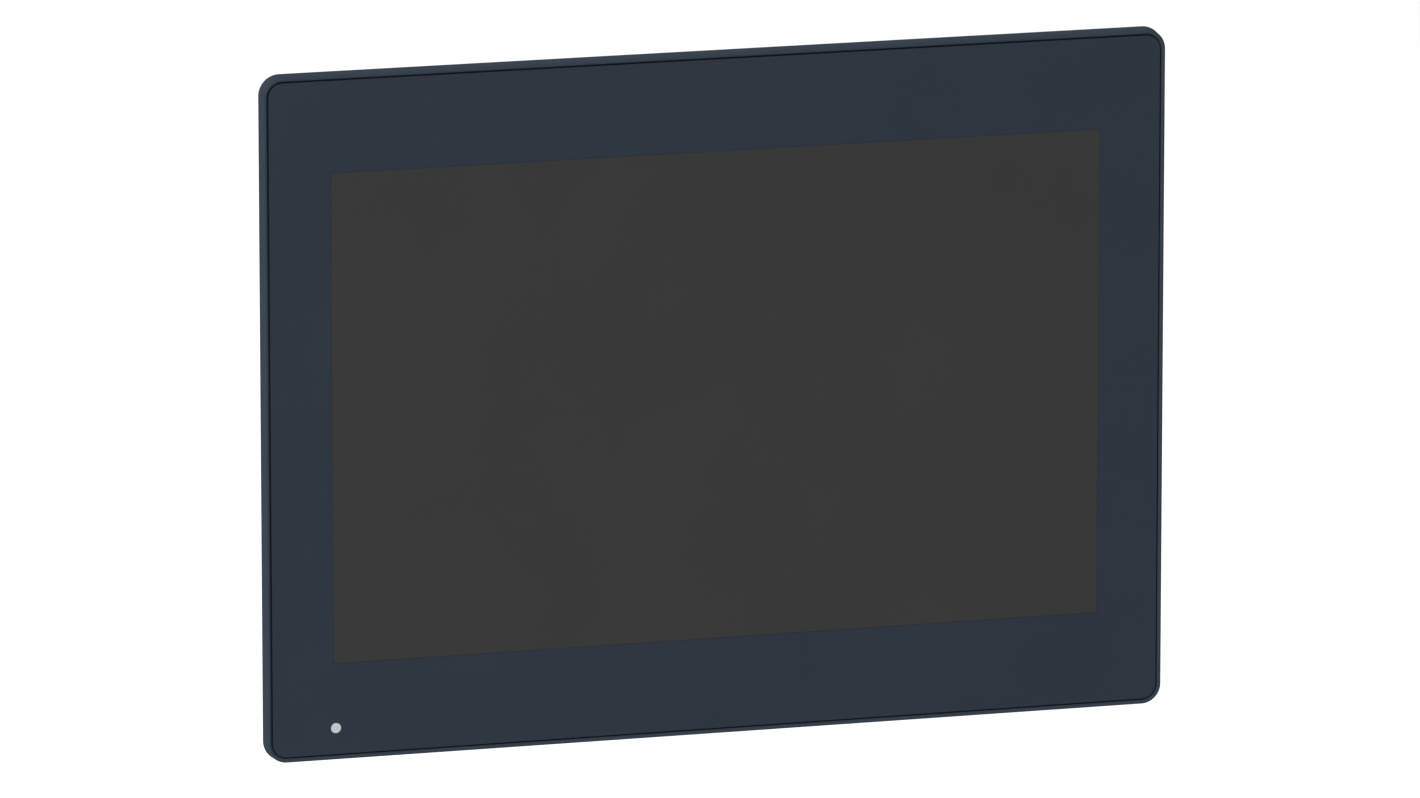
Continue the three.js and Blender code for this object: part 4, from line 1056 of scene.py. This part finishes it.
def card_details():
    """A blank label, a grip and the contact pads."""
    low, high = box_mm("memory_card")
    label = [((low.x + 3.5, high.x - 4), (high.y - 0.02, high.y + 0.04), (low.z + 2, high.z - 2))]
    detail(fine_boxes("card_label", label, 0.015), "white_plastic", "memory_card")
    grip = [((high.x - 0.75, high.x - 0.15), (high.y - 0.1, high.y + 0.22), (low.z + 4, high.z - 4))]
    detail(fine_boxes("card_grip", grip, 0.1), "card_plastic", "memory_card")
    pads = [((low.x + 0.8, low.x + 5.2), (low.y - 0.03, low.y + 0.05), (z - 0.8, z + 0.8))
            for z in pitch_row((low.z + high.z) / 2 - 1, 2.4, 8)]
    detail(fine_boxes("card_contacts", pads, 0.02), "connector_metal", "memory_card", GOLD)


def door_details():
    """Grip ribs beside the latch."""
    grip = [((x - 0.6, x + 0.6), (BOX["rear"] - 0.15, BOX["rear"] + 0.55), (33, 47)) for x in (72, 75, 78)]
    detail(fine_boxes("door_grip", grip, 0.28), "housing_plastic", "service_door")


def plate_details():
    """A ruled table without any lettering."""
    low, high = box_mm("rating_plate")
    top = high.y + 0.03
    left, right, bottom, upper = low.x + 3, high.x - 3, low.z + 3, high.z - 3
    rows = 5
    lines = [((left, right), (high.y - 0.02, top), (z - 0.15, z + 0.15))
             for z in (bottom + (upper - bottom) * row / rows for row in range(rows + 1))]
    lines += [((x - 0.15, x + 0.15), (high.y - 0.02, top - 0.004), (bottom, upper))
              for x in (left, left + 22, right)]
    detail(fine_boxes("rating_plate_rules", lines, 0.008), "black_plastic")


def board_details():
    """Chips, small parts, headers, filter cans, the choke and the board's screws."""
    top = box_mm("main_board")[1].y
    chips = [(-26, 22, 14, 10, 1.2), (-20, -8, 7, 7, 0.9), (36, -20, 10, 10, 1.1), (-62, 18, 9, 6, 1.6),
             (-64, 34, 5, 4, 1.4), (30, 50, 8, 5, 1.2), (-6, -40, 12, 6, 1.3), (72, 4, 7, 5, 1.4)]
    boxes = [((x - wide / 2, x + wide / 2), (top + 0.05, top + high), (z - deep / 2, z + deep / 2))
             for x, z, wide, deep, high in chips]
    detail(fine_boxes("board_chips", boxes, 0.12), "black_plastic")
    small = []
    for row in range(4):
        for column in range(14):
            x = -34 + column * 4.6 + (row % 2) * 1.7
            z = (-50, -14, 44, 56)[row]
            small.append(((x - 0.8, x + 0.8), (top + 0.02, top + 0.7), (z - 0.4, z + 0.4)))
    detail(fine_boxes("board_small_parts", small, 0.1), "white_plastic")
    headers = [((-82, -68), (top + 0.05, top + 6), (40, 46)), ((64, 84), (top + 0.05, top + 6), (-22, -17))]
    detail(fine_boxes("board_headers", headers, 0.3), "white_plastic")
    for index, z in enumerate((-44, -30)):
        rings = [(top + 0.1, 4.7), (top + 0.5, 5.0), (top + 2.2, 5.0), (top + 2.5, 4.7), (top + 2.9, 4.7),
                 (top + 3.2, 5.0), (top + 13.4, 5.0), (top + 13.9, 4.6), (top + 13.9, 4.1), (top + 13.7, 3.9),
                 (top + 13.7, 0.3)]
        can = turned(f"filter_can_{index + 1}", rings, (-88, z), 36)
        detail(smooth(can, 35), "heat_sink_aluminium")
    rings = [(top + 0.1, 6.0), (top + 1.2, 6.0), (top + 1.6, 4.4)]
    rings += [(top + 1.6 + 0.55 * turn, 4.7 if turn % 2 else 4.4) for turn in range(1, 9)]
    rings += [(top + 6.6, 4.4), (top + 6.8, 6.0), (top + 8.0, 6.0)]
    detail(smooth(turned("filter_choke", rings, (-44, -28), 36), 35), "black_plastic")
    for index, (x, z) in enumerate([(-92, -62), (92, -62), (-92, 58), (92, 58)]):
        rings = [(top - 3.0, 1.4), (top + 0.05, 1.4), (top + 0.05, 2.7), (top + 0.25, 2.85), (top + 0.9, 2.8),
                 (top + 1.5, 2.4), (top + 1.9, 1.6), (top + 1.9, hexagon(1.1)), (top + 1.0, hexagon(1.1))]
        detail(smooth(turned(f"board_screw_{index + 1}", rings, (x, z), 36), 35), "zinc_steel")


def coin_cell_can():
    """The cell's stepped can, with a shallow dish in its rear face."""
    low, high = box_mm("coin_cell")
    rings = [(low.y, 8.3), (low.y + 0.12, 8.5), (low.y + 0.35, 8.6), (low.y + 0.38, 9.3)]
    rings += [(low.y + 0.55, 9.75), (low.y + 0.9, 10.0), (high.y - 0.35, 10.0), (high.y - 0.1, 9.9)]
    rings += [(high.y, 9.6), (high.y, 8.9), (high.y - 0.06, 8.8), (high.y - 0.06, 1.0)]
    return smooth(turned("coin_cell_can", rings, middle_of("coin_cell"), 64), 35)


card_details()
door_details()
plate_details()
board_details()
stand_for(coin_cell_can(), "zinc_steel", "coin_cell")


# ---------- CAD nodes that stay: fine edges and materials ----------

FINE_EDGES = {
    "touch_window": 0.05, "touch_glass": 0.1, "display_seal": 0.05, "lcd_frame": 0.15,
    "lcd_cell": 0.08, "light_guide": 0.1, "led_bar": 0.1, "backlight_tray": 0.1,
    "lcd_driver_board": 0.1, "status_led_board": 0.1, "touch_flex": 0.03, "display_cable": 0.05,
    "chassis_plate": 0.15, "main_board": 0.12, "processor": 0.15, "heat_sink": 0.15,
    "power_transformer": 0.4, "battery_holder": 0.25, "buzzer": 0.4, "power_socket": 0.2,
    "power_plug": 0.3, "network_socket_1": 0.2, "network_socket_2": 0.2, "usb_host_socket": 0.12,
    "usb_device_socket": 0.18, "card_socket": 0.15, "memory_card": 0.2, "reset_switch": 0.2,
    "reset_button": 0.2, "service_door": 0.25, "door_hinge_pin": 0.15, "rating_plate": 0.06,
}
node_slots = {row["node"]: row["material_slot"] for row in frame["record"]["subparts"]}
for node, width in FINE_EDGES.items():
    soften(node, width)
    mesh = frame["nodes"][node].data
    mesh.materials.clear()
    mesh.materials.append(MATERIALS[node_slots[node]])
